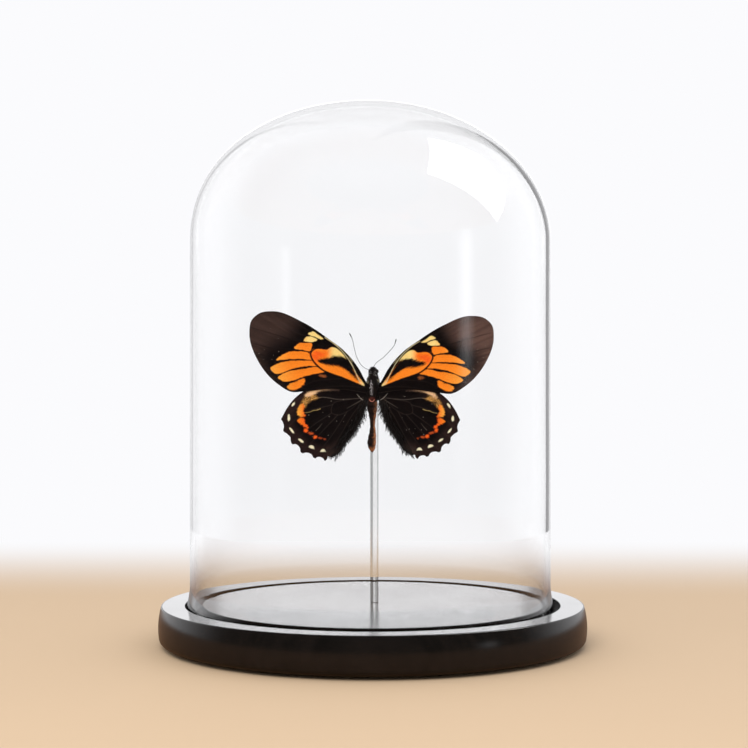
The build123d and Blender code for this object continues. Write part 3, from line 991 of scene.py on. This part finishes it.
def hindwing_hair(side):
    """Dark hair along the hindwing's inner margin: loose on the wing, in pointed clumps at its edge."""
    along, up, off = wing_frame(side)
    margin = smooth_line(INNER_MARGIN[1:], MARGIN_STEP) * WING_SIZE[side]["hindwing"]
    tailward = -np.gradient(margin, axis=0)
    tailward /= np.linalg.norm(tailward, axis=1)[:, None]
    outward = np.stack([tailward[:, 1], -tailward[:, 0]], axis=1)
    starts, ends = [], []
    for first in range(0, len(margin) - CLUMP_STEPS, CLUMP_STEPS):
        middle = first + CLUMP_STEPS // 2
        lean = tailward[middle] + rng.uniform(*CLUMP_LEAN) * outward[middle]
        tip = margin[middle] + rng.uniform(*CLUMP_LENGTH) * lean
        for _ in range(CLUMP_HAIRS):
            at = (first + rng.integers(-2, CLUMP_STEPS + 2)) % len(margin)
            starts.append(margin[at] - outward[middle] * rng.uniform(*CLUMP_ROOT))
            ends.append(tip + rng.normal(0, 0.25, 2))
    loose = rng.integers(0, len(margin), len(margin))
    for at in loose:
        start = margin[at] - outward[at] * rng.uniform(*LOOSE_ROOT)
        starts.append(start)
        length = rng.uniform(*LOOSE_LENGTH)
        ends.append(start + length * (tailward[at] + rng.normal(0.1, 0.15) * outward[at]))
    starts, reach = np.array(starts), np.array(ends) - np.array(starts)
    rise = camber(starts) + 0.1
    roots = starts[:, :1] * along + starts[:, 1:] * up + rise[:, None] * off + (0, HINDWING_DEPTH, 0)
    direction = reach[:, :1] * along + reach[:, 1:] * up + rng.normal(0.1, 0.08, (len(reach), 1)) * off
    lengths = np.linalg.norm(reach, axis=1)
    points, faces = hairs(roots, direction, lengths, WING_HAIR_RADIUS, np.zeros(3))
    grey = rng.uniform(*WING_HAIR_GREY, len(roots))
    tints = np.repeat(grey[:, None] * np.array([1, 0.9, 0.85]), len(points) // len(roots), axis=0)
    on_butterfly(f"hindwing_hair_{side}", (points, faces), HAIR, tints)


for side in SIDES:
    wing("forewing", side, FOREWING_EDGE, FOREWING_VEINS, forewing_tints, FOREWING_DEPTH)
    wing("hindwing", side, HINDWING_EDGE, HINDWING_VEINS, hindwing_tints, HINDWING_DEPTH)
    hindwing_hair(side)

# ---------------------------------------------------------------- head, thorax, abdomen

# (height, half width, half depth, centre towards the viewer, centre to the right) in mm from the
# butterfly's origin
THORAX_RINGS = [
    (5.0, 1.9, 1.7, 0.2, -0.1),
    (4.0, 2.45, 2.3, 0.2, -0.2),
    (2.6, 2.75, 2.9, 0.1, -0.3),
    (1.2, 3.0, 3.4, 0.1, -0.3),
    (-1.2, 3.4, 3.8, 0.0, -0.3),
    (-4.2, 3.4, 3.8, 0.0, -0.3),
    (-7.2, 2.8, 3.0, 0.0, -0.5),
    (-8.6, 1.7, 1.8, 0.0, -0.6),
]
ABDOMEN_RINGS = [
    (-7.6, 2.4, 2.5, 0.0, -0.6),
    (-9.9, 2.7, 2.7, 0.0, -0.75),
    (-14.2, 1.95, 2.1, 0.1, -0.5),
    (-19.5, 1.2, 1.4, 0.2, -0.45),
    (-23.1, 1.6, 1.7, 0.2, -0.45),
    (-26.7, 2.05, 2.1, 0.1, -0.8),
    (-29.2, 2.05, 2.0, 0.0, -0.9),
    (-31.4, 1.4, 1.4, 0.0, -0.7),
    (-32.8, 0.5, 0.5, 0.0, -0.6),
]
HEAD_RINGS = [
    (8.7, 0.5, 0.6, 0.0, -0.2),
    (8.2, 1.25, 1.5, 0.0, -0.2),
    (7.2, 1.85, 2.1, 0.0, -0.2),
    (6.0, 2.15, 2.3, 0.0, -0.2),
    (4.8, 2.25, 2.2, 0.0, -0.2),
    (3.9, 2.2, 2.0, 0.0, -0.2),
]
BODY_AROUND = 48
SEGMENT = 3.1  # length of an abdomen segment
BODY_BLACK = (0.003, 0.0015, 0.0015)
BACK_MIDDLE = -0.9  # of the pale streak down the thorax, to the right of the origin


def trunk(rows, step, pinch=0.0, lumps=0.0):
    """A closed stretch of body. Returns its points, its faces and, per point, the turn about it."""
    line = smooth_line(rows, step)
    rings, turns = [], []
    turn = np.arange(BODY_AROUND) * 2 * math.pi / BODY_AROUND
    for height, half_width, half_depth, forward, aside in line:
        waist = 1 - pinch * math.exp(-(((height / SEGMENT) % 1 - 0.5) * 7) ** 2)
        rough = 1 + lumps * rng.standard_normal(BODY_AROUND)
        centre = np.array([aside, -forward, height])
        ring = circle(centre, np.array([half_width, 0, 0]), np.array([0, half_depth, 0]), BODY_AROUND)
        rings.append(centre + (ring - centre) * (waist * rough)[:, None])
        turns.append(turn)
    first, last = line[0], line[-1]
    towards = 0.25 * np.sign(first[0] - last[0])
    start = np.array([[first[4], -first[3], first[0] + towards]])
    end = np.array([[last[4], -last[3], last[0] - towards]])
    points, faces = skin([start, *rings, end])
    return points, faces, np.concatenate([[0], np.concatenate(turns), [0]])


def body_hair(points, count, length, lean, keep):
    """Hair roots and directions spread over a stretch of body."""
    chosen = points[rng.choice(np.flatnonzero(keep), count)]
    direction = chosen * (1, 1, 0)
    direction /= np.linalg.norm(direction, axis=1)[:, None] + 1e-9
    direction = direction * 0.8 + np.array(lean) + rng.normal(0, 0.25, direction.shape)
    lengths = length * rng.uniform(0.5, 1.2, count)
    return chosen, direction, lengths


def coat(name, roots, direction, lengths, radius, colours):
    """A coat of body hair, each hair in one of a few colours."""
    points, faces = hairs(roots, direction, lengths, radius, np.array([0, 0, -0.15]))
    picked = np.array(colours)[rng.integers(0, len(colours), len(roots))]
    tints = np.repeat(picked, len(points) // len(roots), axis=0)
    on_butterfly(name, (points, faces), HAIR, tints)


def daub(tints, points, centre, half_size, colour, strength=1.0):
    """Rubs a colour on the side towards the viewer, about a place given as (right, up)."""
    offset = (points[:, [0, 2]] - centre) / half_size
    grain = 0.55 + 0.45 * rng.random(len(points))
    paint(tints, strength * grain * np.exp(-((offset**2).sum(1) ** 2)) * (points[:, 1] < 0), colour)


def tufts(name, points, spots, colours, radius):
    """Small tufts of pale hair. Each spot is (right, up, spread, count, length)."""
    roots, directions, lengths = [], [], []
    front = points[points[:, 1] < 0]
    for right, up, spread, count, length in spots:
        for aim in rng.normal((right, up), spread, (count, 2)):
            root = front[np.linalg.norm(front[:, [0, 2]] - aim, axis=1).argmin()]
            roots.append(root + rng.normal(0, 0.12, 3))
            directions.append(np.array([0.3 * np.sign(right), -0.7, -0.4]) + rng.normal(0, 0.5, 3))
            lengths.append(length * rng.uniform(0.6, 1.2))
    coat(name, np.array(roots), directions, lengths, radius, colours)


def thorax():
    points, faces, _ = trunk(THORAX_RINGS, 0.25, lumps=0.01)
    tints = np.tile(np.array(BODY_BLACK), (len(points), 1))
    # Painted highlight: a pale grey rub down the shiny streak on the thorax's back.
    daub(tints, points, (BACK_MIDDLE, -2.2), (0.8, 3.2), (0.12, 0.11, 0.11), 0.6)
    daub(tints, points, (-0.7, -6.6), (1.6, 0.8), (0.09, 0.02, 0.014))
    on_butterfly("thorax_shell", (points, faces), SHELL, tints, replaces=["thorax"])
    bare = (np.abs(points[:, 0] - BACK_MIDDLE) < 0.6) & (points[:, 1] < 0)
    keep = ~bare & (points[:, 2] > -7.2)
    dark = [(0.002, 0.001, 0.001), (0.005, 0.003, 0.0025), (0.02, 0.013, 0.01)]
    coat("thorax_hair", *body_hair(points, 1500, 0.8, (0, 0, -0.9), keep), 0.04, dark)
    tan = [(0.5, 0.42, 0.26), (0.35, 0.28, 0.18), (0.6, 0.55, 0.42)]
    shoulders = [(-3.1, 1.6, 0.4, 22, 0.9), (2.4, 2.0, 0.4, 18, 0.9), (-2.4, 3.6, 0.3, 8, 0.6)]
    tufts("shoulder_tufts", points, shoulders, tan, 0.09)
    white = [(0.5, 0.47, 0.48), (0.3, 0.28, 0.28), (0.12, 0.1, 0.1), (0.75, 0.72, 0.72)]
    heights = np.arange(-4.6, 2.4, 0.5)
    streak = [(BACK_MIDDLE + 0.15 * math.sin(3 * up), up, 0.38, 5, 0.5) for up in heights]
    tufts("thorax_streak", points, streak, white, 0.15)
    across = np.linspace(-1.35, 1.35, 40)
    arc = np.stack([across - 0.75, 0.15 * across**2 - 3.0, 0.65 * across**2 - 8.1], axis=1)
    on_butterfly("thorax_rear_edge", tube(arc, 0.2, 8), SHELL, (0.5, 0.17, 0.12))


def abdomen():
    points, faces, turn = trunk(ABDOMEN_RINGS, 0.22, pinch=0.09, lumps=0.012)
    dark, rust_and_lit_side = np.array([0.011, 0.0045, 0.0035]), np.array([0.6, 0.22, 0.09])
    # Painted light: the side turned to the right and towards the viewer is painted rust-brown, as lit by
    # the window on the right, and more strongly towards the lower abdomen. The rust at the tip is the
    # abdomen's own colour.
    side_facing = np.cos(turn + math.radians(28))
    share = soft_step(side_facing + 0.16 * rng.standard_normal(len(points)), 0.72, 1.08)
    lower = soft_step(-points[:, 2], 9.0, 22.0)
    tip = soft_step(-points[:, 2], 29.5, 32.0)
    share = np.maximum(share * (0.35 + 0.65 * lower), 0.5 * tip)
    joint = np.exp(-((((points[:, 2] / SEGMENT) % 1 - 0.5) * 9) ** 2))
    tints = (dark + share[:, None] * (rust_and_lit_side - dark)) * (1 - 0.6 * joint)[:, None]
    on_butterfly("abdomen_shell", (points, faces), SHELL, tints, replaces=["abdomen"])
    keep = points[:, 2] > -31
    short = [(0.006, 0.004, 0.003), (0.014, 0.008, 0.006), (0.07, 0.03, 0.015)]
    coat("abdomen_hair", *body_hair(points, 800, 0.45, (0, 0, -1.4), keep), 0.025, short)


def head():
    points, faces, _ = trunk(HEAD_RINGS, 0.25, lumps=0.012)
    on_butterfly("head_shell", (points, faces), SHELL, BODY_BLACK, replaces=["head"])
    keep = points[:, 2] > 4.5
    dark = [(0.003, 0.002, 0.002), (0.006, 0.004, 0.004), (0.03, 0.027, 0.03)]
    coat("head_hair", *body_hair(points, 420, 0.6, (0, 0, 0.3), keep), 0.035, dark)
    white = [(0.8, 0.78, 0.76), (0.6, 0.57, 0.56)]
    spots = [
        (-2.0, 4.2, 0.12, 6, 0.45),
        (1.1, 4.4, 0.15, 6, 0.45),
        (0.6, 6.2, 0.4, 7, 0.35),
        (0.9, 5.2, 0.35, 5, 0.35),
        (-1.1, 6.0, 0.5, 5, 0.3),
    ]
    tufts("head_specks", points, spots, white, 0.11)


# Pale bristles over each hindwing's root, as (right, up) in mm from the butterfly's origin.
ROOT_BRISTLES = {
    "left": ([(-7.9, -4.5), (-6.3, -6.5), (-5.4, -7.1)], -3.0),
    "right": ([(6.9, -4.0), (4.8, -6.3), (3.3, -7.3)], -3.7),
}


def root_bristles(side):
    route, depth = ROOT_BRISTLES[side]
    line = smooth_line([(x, depth, z) for x, z in route], 0.2)
    strands = []
    for spread in rng.normal(0, 0.18, (4, 3)):
        strands.append(tube(line + spread, np.linspace(0.02, 0.045, len(line)), 6))
    on_butterfly(f"root_bristles_{side}", joined(strands), HAIR, (0.36, 0.32, 0.27))


thorax()
abdomen()
head()
for side in SIDES:
    root_bristles(side)


# ---------------------------------------------------------------- eyes, palps, tongue, antennae, legs

PALP_BLACK = (0.01, 0.007, 0.006)
PALP_HAIR_BLACK = (0.012, 0.009, 0.008)
PALP_HAIRS = 90
TONGUE_BROWN = (0.03, 0.014, 0.008)
TONGUE_TURNS = 2.4
ANTENNA_BLACK = (0.012, 0.009, 0.008)
ANTENNA_RINGS = 44
CLUB_SWELLS, CLUB_TAPERS = (0.86, 0.95), (0.97, 1.0)  # as shares of the antenna's length
LEG_BLACK = (0.012, 0.008, 0.007)


def eye(side):
    node = f"eye_{side}"
    ball = egg(node, steepest=84, ring_count=29, around=48)
    piece(f"eye_facets_{side}", ball, EYE, replaces=[node])


def palp(side):
    sign = SIDES[side]
    line = smooth_line([(sign * 0.7, 1.3, 5.2), (sign * 0.9, 2.2, 6.4), (sign * 0.9, 2.7, 8.0)], 0.15)
    thick = 0.5 * np.sqrt(np.clip(1 - np.linspace(0, 0.95, len(line)) ** 2, 0, 1)) + 0.05
    name = f"palp_bristled_{side}"
    on_butterfly(name, tube(line, thick), SHELL, PALP_BLACK, replaces=[f"palp_{side}"])
    at = rng.integers(0, len(line) - 1, PALP_HAIRS)
    direction = rng.normal(0, 0.5, (PALP_HAIRS, 3)) + (0, 0.3, 1.0)
    lengths = rng.uniform(0.5, 0.9, PALP_HAIRS)
    coat(f"palp_hair_{side}", line[at], direction, lengths, 0.03, [PALP_HAIR_BLACK])


def tongue():
    """The tongue, wound up under the head."""
    low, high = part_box("proboscis")
    centre = (np.array((low + high) / 2) - origin) / MM
    turn = np.linspace(0, TONGUE_TURNS * 2 * math.pi, 140)
    reach = 0.4 + 0.8 * turn / turn[-1]
    line = centre + np.stack([np.zeros(len(turn)), reach * np.cos(turn), reach * np.sin(turn)], axis=1)
    coil = tube(line, np.linspace(0.07, 0.16, len(turn)), 10)
    on_butterfly("tongue_coil", coil, HORN, TONGUE_BROWN, ["proboscis"])


ANTENNA_ROUTES = {
    "left": [
        (-0.9, -0.9, 7.2), (-2.8, -1.0, 7.6), (-5.3, -1.1, 9.0), (-7.9, -1.2, 12.9),
        (-9.5, -1.3, 18.5), (-10.4, -1.3, 22.4), (-11.8, -1.4, 25.3),
    ],
    "right": [
        (-0.4, -0.9, 8.0), (1.0, -1.0, 10.3), (4.8, -1.1, 13.4), (7.6, -1.2, 16.2),
        (10.1, -1.3, 19.3), (11.1, -1.4, 22.4),
    ],
}


def antenna(side):
    """A ringed thread that thickens into a club."""
    line = smooth_line(ANTENNA_ROUTES[side], 0.06)
    share = np.linspace(0, 1, len(line))
    rings = 1 + 0.1 * np.sin(share * 2 * math.pi * ANTENNA_RINGS)
    thick = (0.12 + 0.14 * soft_step(share, *CLUB_SWELLS)) * rings
    thick *= 1 - 0.6 * soft_step(share, *CLUB_TAPERS)
    name, thread = f"antenna_ringed_{side}", tube(line, thick, 10)
    on_butterfly(name, thread, HORN, ANTENNA_BLACK, [f"antenna_{side}"])


LEG_ROUTES = {
    "foreleg": [(1.5, 2.8, 1.6), (2.6, 4.2, 3.0), (3.0, 5.2, 0.2), (3.0, 5.4, -3.0)],
    "midleg": [(2.6, 2.9, -1.6), (4.1, 4.9, 0.4), (3.9, 6.7, -3.8), (3.5, 6.5, -8.0)],
    "hindleg": [(1.7, 3.0, -4.6), (3.9, 4.7, -6.0), (3.9, 4.9, -11.8), (3.4, 4.0, -16.3)],
}
LEG_THICKNESS = [0.34, 0.26, 0.17, 0.12]


def leg(kind, side):
    """A folded leg: thigh, shin and a thin jointed foot with two claws."""
    route = np.array(LEG_ROUTES[kind]) * (SIDES[side], 1, 1)
    parts = []
    for number in range(3):
        start, end = route[number], route[number + 1]
        share = np.linspace(0, 1, 14)[:, None]
        line = start + (end - start) * share
        swell = LEG_THICKNESS[number] * (0.7 + 0.45 * np.sin(math.pi * share[:, 0]) ** 0.7)
        if number == 2:
            swell *= 1 + 0.12 * np.cos(share[:, 0] * 2 * math.pi * 5)
        parts.append(tube(line, swell, 10))
    for claw in (-1, 1):
        tip = route[-1] + (0.22 * claw, 0.1, -0.3)
        bend = (route[-1] + tip) / 2 + (0.08 * claw, 0, 0)
        parts.append(tube([route[-1], bend, tip], [0.06, 0.045, 0.02], 6))
    name = f"{kind}_{side}"
    on_butterfly(f"{name}_jointed", joined(parts), HORN, LEG_BLACK, [name])


for side in SIDES:
    eye(side)
    palp(side)
    antenna(side)
    for kind in LEG_ROUTES:
        leg(kind, side)
tongue()

# ---------------------------------------------------------------- floor, light and camera

FLOOR_COLOUR = (0.61, 0.44, 0.28)
FLOOR_IN_MIRROR = (0.22, 0.1, 0.035)
BACKDROP = (0.965, 0.965, 0.985, 1)
SWEEP_START, SWEEP_END = 0.16, 0.5  # where the floor turns into the backdrop behind the jar
CLEAR_OF_FLOOR = 0.0002
DISTANCE = 0.815  # of the camera from the jar's axis
EYE_HEIGHT = 0.1128  # of the camera above the base's top
AIM_X = 0.00064
AIM_Z = 0.15  # that the fill light points at, and the window's height is counted from
LENS = 79.5
SENSOR = 36
FLOOR_RADIUS = 0.62
FLOOR_AROUND = 128
RIM_START = 0.38  # radius where the floor starts to fade at its rim
THROUGH_GLASS = 1.09  # the backdrop's strength where it is seen through clear surfaces
THROUGH_GLASS_HIGH = 1.12  # the same, above the butterfly
MIRRORED_SWEEP = 0.07  # how much nearer the floor turns into the backdrop in a mirror
# How bright each part of the room is in a mirror, and where it takes over, in the direction's Y
# towards the wall ahead or in its Z.
BEHIND_VIEWER = 0.02
CEILING = 0.5
BELOW_TABLE = 0.85
WALL_AHEAD_STARTS = (-0.2, 0.6)
CEILING_STARTS = (0.45, 1.0)
BELOW_TABLE_STARTS = (-0.06, -0.16)
THROUGH_GLASS_RISE = (-0.08, 0.14)
# Bright patches of the room in a mirror: from and to in degrees, softness in degrees, from and to
# in height, softness in height, brightness.
MIRRORED_PATCHES = [
    (-9, 9, 1, 0.07, 0.26, 0.03, 2.1),
    (115, 121, 5, 0.0, 0.1, 0.025, 1.5),
]
# How many clear surfaces a ray passes: where it is mirrored inside the glass's edge, where it
# goes through the glass, the rod and the glass again, and at most where it stays outside the jar.
EDGE_BENDS = 2
ROD_BENDS = 6
OUTSIDE_BENDS = 2.5
# Dark things beside the jar: from and to in degrees, softness in degrees, brightness.
EDGE_CARDS = [(16.5, 29.0, 1.0, 0.015), (-22.5, -19.0, 1.0, 0.35)]
ROD_CARDS = [(14.0, 120.0, 5.0, 0.5), (-120.0, -36.0, 5.0, 0.6)]


class Room:
    """Node calls for the floor and the world, which look darker where the object mirrors them
    and where its edges and its rod bend their sides into sight."""

    def __init__(self, tree):
        self.nodes, self.links = tree.nodes, tree.links
        self.path = self.nodes.new("ShaderNodeLightPath").outputs

    def maths(self, operation, one, two=0.0):
        made = self.nodes.new("ShaderNodeMath")
        made.operation = operation
        feed(self.links, made.inputs[0], one)
        feed(self.links, made.inputs[1], two)
        return made.outputs[0]

    def step(self, value, low, high):
        """0 at low, 1 at high and smooth between."""
        made = self.nodes.new("ShaderNodeMapRange")
        made.interpolation_type = "SMOOTHSTEP"
        self.links.new(value, made.inputs["Value"])
        made.inputs["From Min"].default_value = low
        made.inputs["From Max"].default_value = high
        return made.outputs["Result"]

    def pick(self, share, one, two):
        """One where share is 0, two where it is 1."""
        made = self.nodes.new("ShaderNodeMapRange")
        self.links.new(share, made.inputs["Value"])
        feed(self.links, made.inputs["To Min"], one)
        feed(self.links, made.inputs["To Max"], two)
        return made.outputs["Result"]

    def between(self, value, low, high, soft):
        """1 where a value lies between two others, with soft ends."""
        rise = self.step(value, low - soft, low + soft)
        fall = self.step(value, high + soft, high - soft)
        return self.maths("MULTIPLY", rise, fall)

    def azimuth(self, across, ahead):
        """Degrees to the right of straight ahead."""
        return self.maths("MULTIPLY", self.maths("ARCTAN2", across, ahead), 180 / math.pi)

    def dim_beside(self, bright, rays_seen, azimuth, cards):
        """Dims a brightness to a level between two azimuths, for the rays that are given."""
        for low, high, soft, level in cards:
            share = self.maths("MULTIPLY", rays_seen, self.between(azimuth, low, high, soft))
            bright = self.pick(share, bright, level)
        return bright

    def mirrored(self):
        """1 where the ray has been mirrored on its way, else 0."""
        return self.maths("MINIMUM", self.path["Glossy Depth"], 1.0)

    def after_bends(self, count):
        """1 where the ray has passed through exactly this many clear surfaces."""
        return self.maths("COMPARE", self.path["Transmission Depth"], float(count))


def stage_sheet(name, corners, material):
    """A flat sheet of the studio, which isn't part of the object."""
    mesh = bpy.data.meshes.new(name)
    mesh.from_pydata([tuple(c) for c in corners], [], [tuple(range(len(corners)))])
    mesh.materials.append(material)
    sheet = bpy.data.objects.new(name, mesh)
    bpy.context.scene.collection.objects.link(sheet)
    return sheet


def studio_floor():
    """A pale round floor that fades into the backdrop behind the jar and at its rim."""
    f = Finish("pale_floor")
    room = Room(f.material.node_tree)
    mirrored = room.mirrored()
    darker = tuple(0.97 * c for c in FLOOR_COLOUR)
    patches = f.ramp(f.noise(0.4, 2), [(0.3, darker), (0.7, FLOOR_COLOUR)])
    f.drive("Base Color", f.mix(mirrored, patches, FLOOR_IN_MIRROR))
    f.set(Roughness=0.9)
    glow = f.node("ShaderNodeEmission")
    glow.inputs["Color"].default_value = BACKDROP
    split = f.node("ShaderNodeSeparateXYZ")
    f.links.new(f.place, split.inputs[0])
    azimuth = room.azimuth(split.outputs["X"], split.outputs["Y"])
    seen_through = room.dim_beside(THROUGH_GLASS, room.after_bends(ROD_BENDS), azimuth, ROD_CARDS)
    f.links.new(room.pick(room.path["Is Camera Ray"], seen_through, 1.0), glow.inputs["Strength"])
    reach = f.node("ShaderNodeVectorMath", operation="LENGTH")
    f.links.new(f.place, reach.inputs[0])
    nearer = room.maths("MULTIPLY", mirrored, MIRRORED_SWEEP)
    behind = room.step(room.maths("ADD", split.outputs["Y"], nearer), SWEEP_START, SWEEP_END)
    far_out = room.step(reach.outputs["Value"], RIM_START, FLOOR_RADIUS - 0.02)
    at_rim = room.maths("MULTIPLY", far_out, room.maths("SUBTRACT", 1.0, mirrored))
    f.overlay(room.maths("MAXIMUM", behind, at_rim), glow)
    rim = level_ring(np.zeros(3), FLOOR_RADIUS, FLOOR_RADIUS, FLOOR_AROUND)
    floor = stage_sheet("floor", rim, f.material)
    floor.location.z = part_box("foot_pad_1")[0].z - CLEAR_OF_FLOOR


def studio_world():
    """White light all round. The glass mirrors a dim room behind the viewer, and its edges and
    the rod bend in darker things that stand outside the picture."""
    world = bpy.data.worlds.new("studio")
    bpy.context.scene.world = world
    world.use_nodes = True
    room = Room(world.node_tree)
    background = room.nodes["Background"]
    background.inputs["Color"].default_value = BACKDROP
    direction = room.nodes.new("ShaderNodeTexCoord")
    split = room.nodes.new("ShaderNodeSeparateXYZ")
    room.links.new(direction.outputs["Generated"], split.inputs[0])
    ahead, upward = split.outputs["Y"], split.outputs["Z"]
    azimuth = room.azimuth(split.outputs["X"], ahead)
    mirrored = room.mirrored()
    in_mirror = room.pick(room.step(ahead, *WALL_AHEAD_STARTS), BEHIND_VIEWER, 1.0)
    in_mirror = room.pick(room.step(upward, *CEILING_STARTS), in_mirror, CEILING)
    bends = room.path["Transmission Depth"]
    outside_only = room.maths("LESS_THAN", bends, OUTSIDE_BENDS)
    below = room.maths("MULTIPLY", room.step(upward, *BELOW_TABLE_STARTS), outside_only)
    in_mirror = room.pick(below, in_mirror, BELOW_TABLE)
    for left, right, side_soft, low, high, soft, level in MIRRORED_PATCHES:
        beside = room.between(azimuth, left, right, side_soft)
        upright = room.between(upward, low, high, soft)
        in_mirror = room.pick(room.maths("MULTIPLY", beside, upright), in_mirror, level)
    high = room.step(upward, *THROUGH_GLASS_RISE)
    seen_through = room.pick(high, THROUGH_GLASS, THROUGH_GLASS_HIGH)
    bright = room.pick(mirrored, seen_through, in_mirror)
    edge_ray = room.maths("MULTIPLY", mirrored, room.after_bends(EDGE_BENDS))
    bright = room.dim_beside(bright, edge_ray, azimuth, EDGE_CARDS)
    bright = room.dim_beside(bright, room.after_bends(ROD_BENDS), azimuth, ROD_CARDS)
    bright = room.pick(room.path["Is Diffuse Ray"], bright, 1.0)
    bright = room.pick(room.path["Is Camera Ray"], bright, 1.0)
    room.links.new(bright, background.inputs["Strength"])


FILL_SIZE = 0.9
FILL_WATTS = 14.0
FILL_FROM = (-0.25, -1.0, 0.7)
FILL_DISTANCE = 1.5


def fill_light():
    """A soft light in front that lights the butterfly but isn't mirrored in the glass."""
    light = bpy.data.lights.new("front_fill", "AREA")
    light.shape = "SQUARE"
    light.size = FILL_SIZE
    light.energy = FILL_WATTS
    lamp = bpy.data.objects.new("front_fill", light)
    aim = Vector((0, 0, AIM_Z))
    lamp.location = aim + Vector(FILL_FROM).normalized() * FILL_DISTANCE
    lamp.rotation_euler = (lamp.location - aim).to_track_quat("Z", "Y").to_euler()
    lamp.visible_camera = False
    lamp.visible_glossy = False
    lamp.visible_transmission = False
    bpy.context.scene.collection.objects.link(lamp)


# The window's corners as (degrees to the right of straight ahead, degrees up) from the jar.
WINDOW = [(58, 67), (57, 46), (72, 32), (97, 13), (114, 38), (132, 52)]
WINDOW_DISTANCE = 1.2
WINDOW_STRENGTH = 6.0


def window():
    """A large bright window to the right, which the crown of the glass mirrors."""
    f = Finish("window_light")
    glow = f.node("ShaderNodeEmission")
    glow.inputs["Strength"].default_value = WINDOW_STRENGTH
    f.links.new(glow.outputs[0], f.output.inputs["Surface"])
    corners = []
    for azimuth, elevation in WINDOW:
        turn, rise = math.radians(azimuth), math.radians(elevation)
        x, y, z = math.sin(turn) * math.cos(rise), math.cos(turn) * math.cos(rise), math.sin(rise)
        corners.append((WINDOW_DISTANCE * x, WINDOW_DISTANCE * y, AIM_Z + WINDOW_DISTANCE * z))
    pane = stage_sheet("window", corners, f.material)
    pane.visible_camera = False
    pane.visible_diffuse = False
    pane.visible_transmission = False
    pane.visible_shadow = False


studio_floor()
studio_world()
window()
fill_light()

camera_data = bpy.data.cameras.new("camera")
camera_data.lens = LENS
camera_data.sensor_width = SENSOR
camera_data.clip_start = 0.01
camera = bpy.data.objects.new("camera", camera_data)
camera.location = (AIM_X, -DISTANCE, base_high.z + EYE_HEIGHT)
camera.rotation_euler = (math.radians(90), 0, 0)
bpy.context.scene.collection.objects.link(camera)
bpy.context.scene.camera = camera
bpy.context.scene.view_settings.view_transform = "Standard"
bpy.context.scene.cycles.transparent_max_bounces = 16
bpy.context.scene.cycles.max_bounces = 16
bpy.context.scene.cycles.transmission_bounces = 14
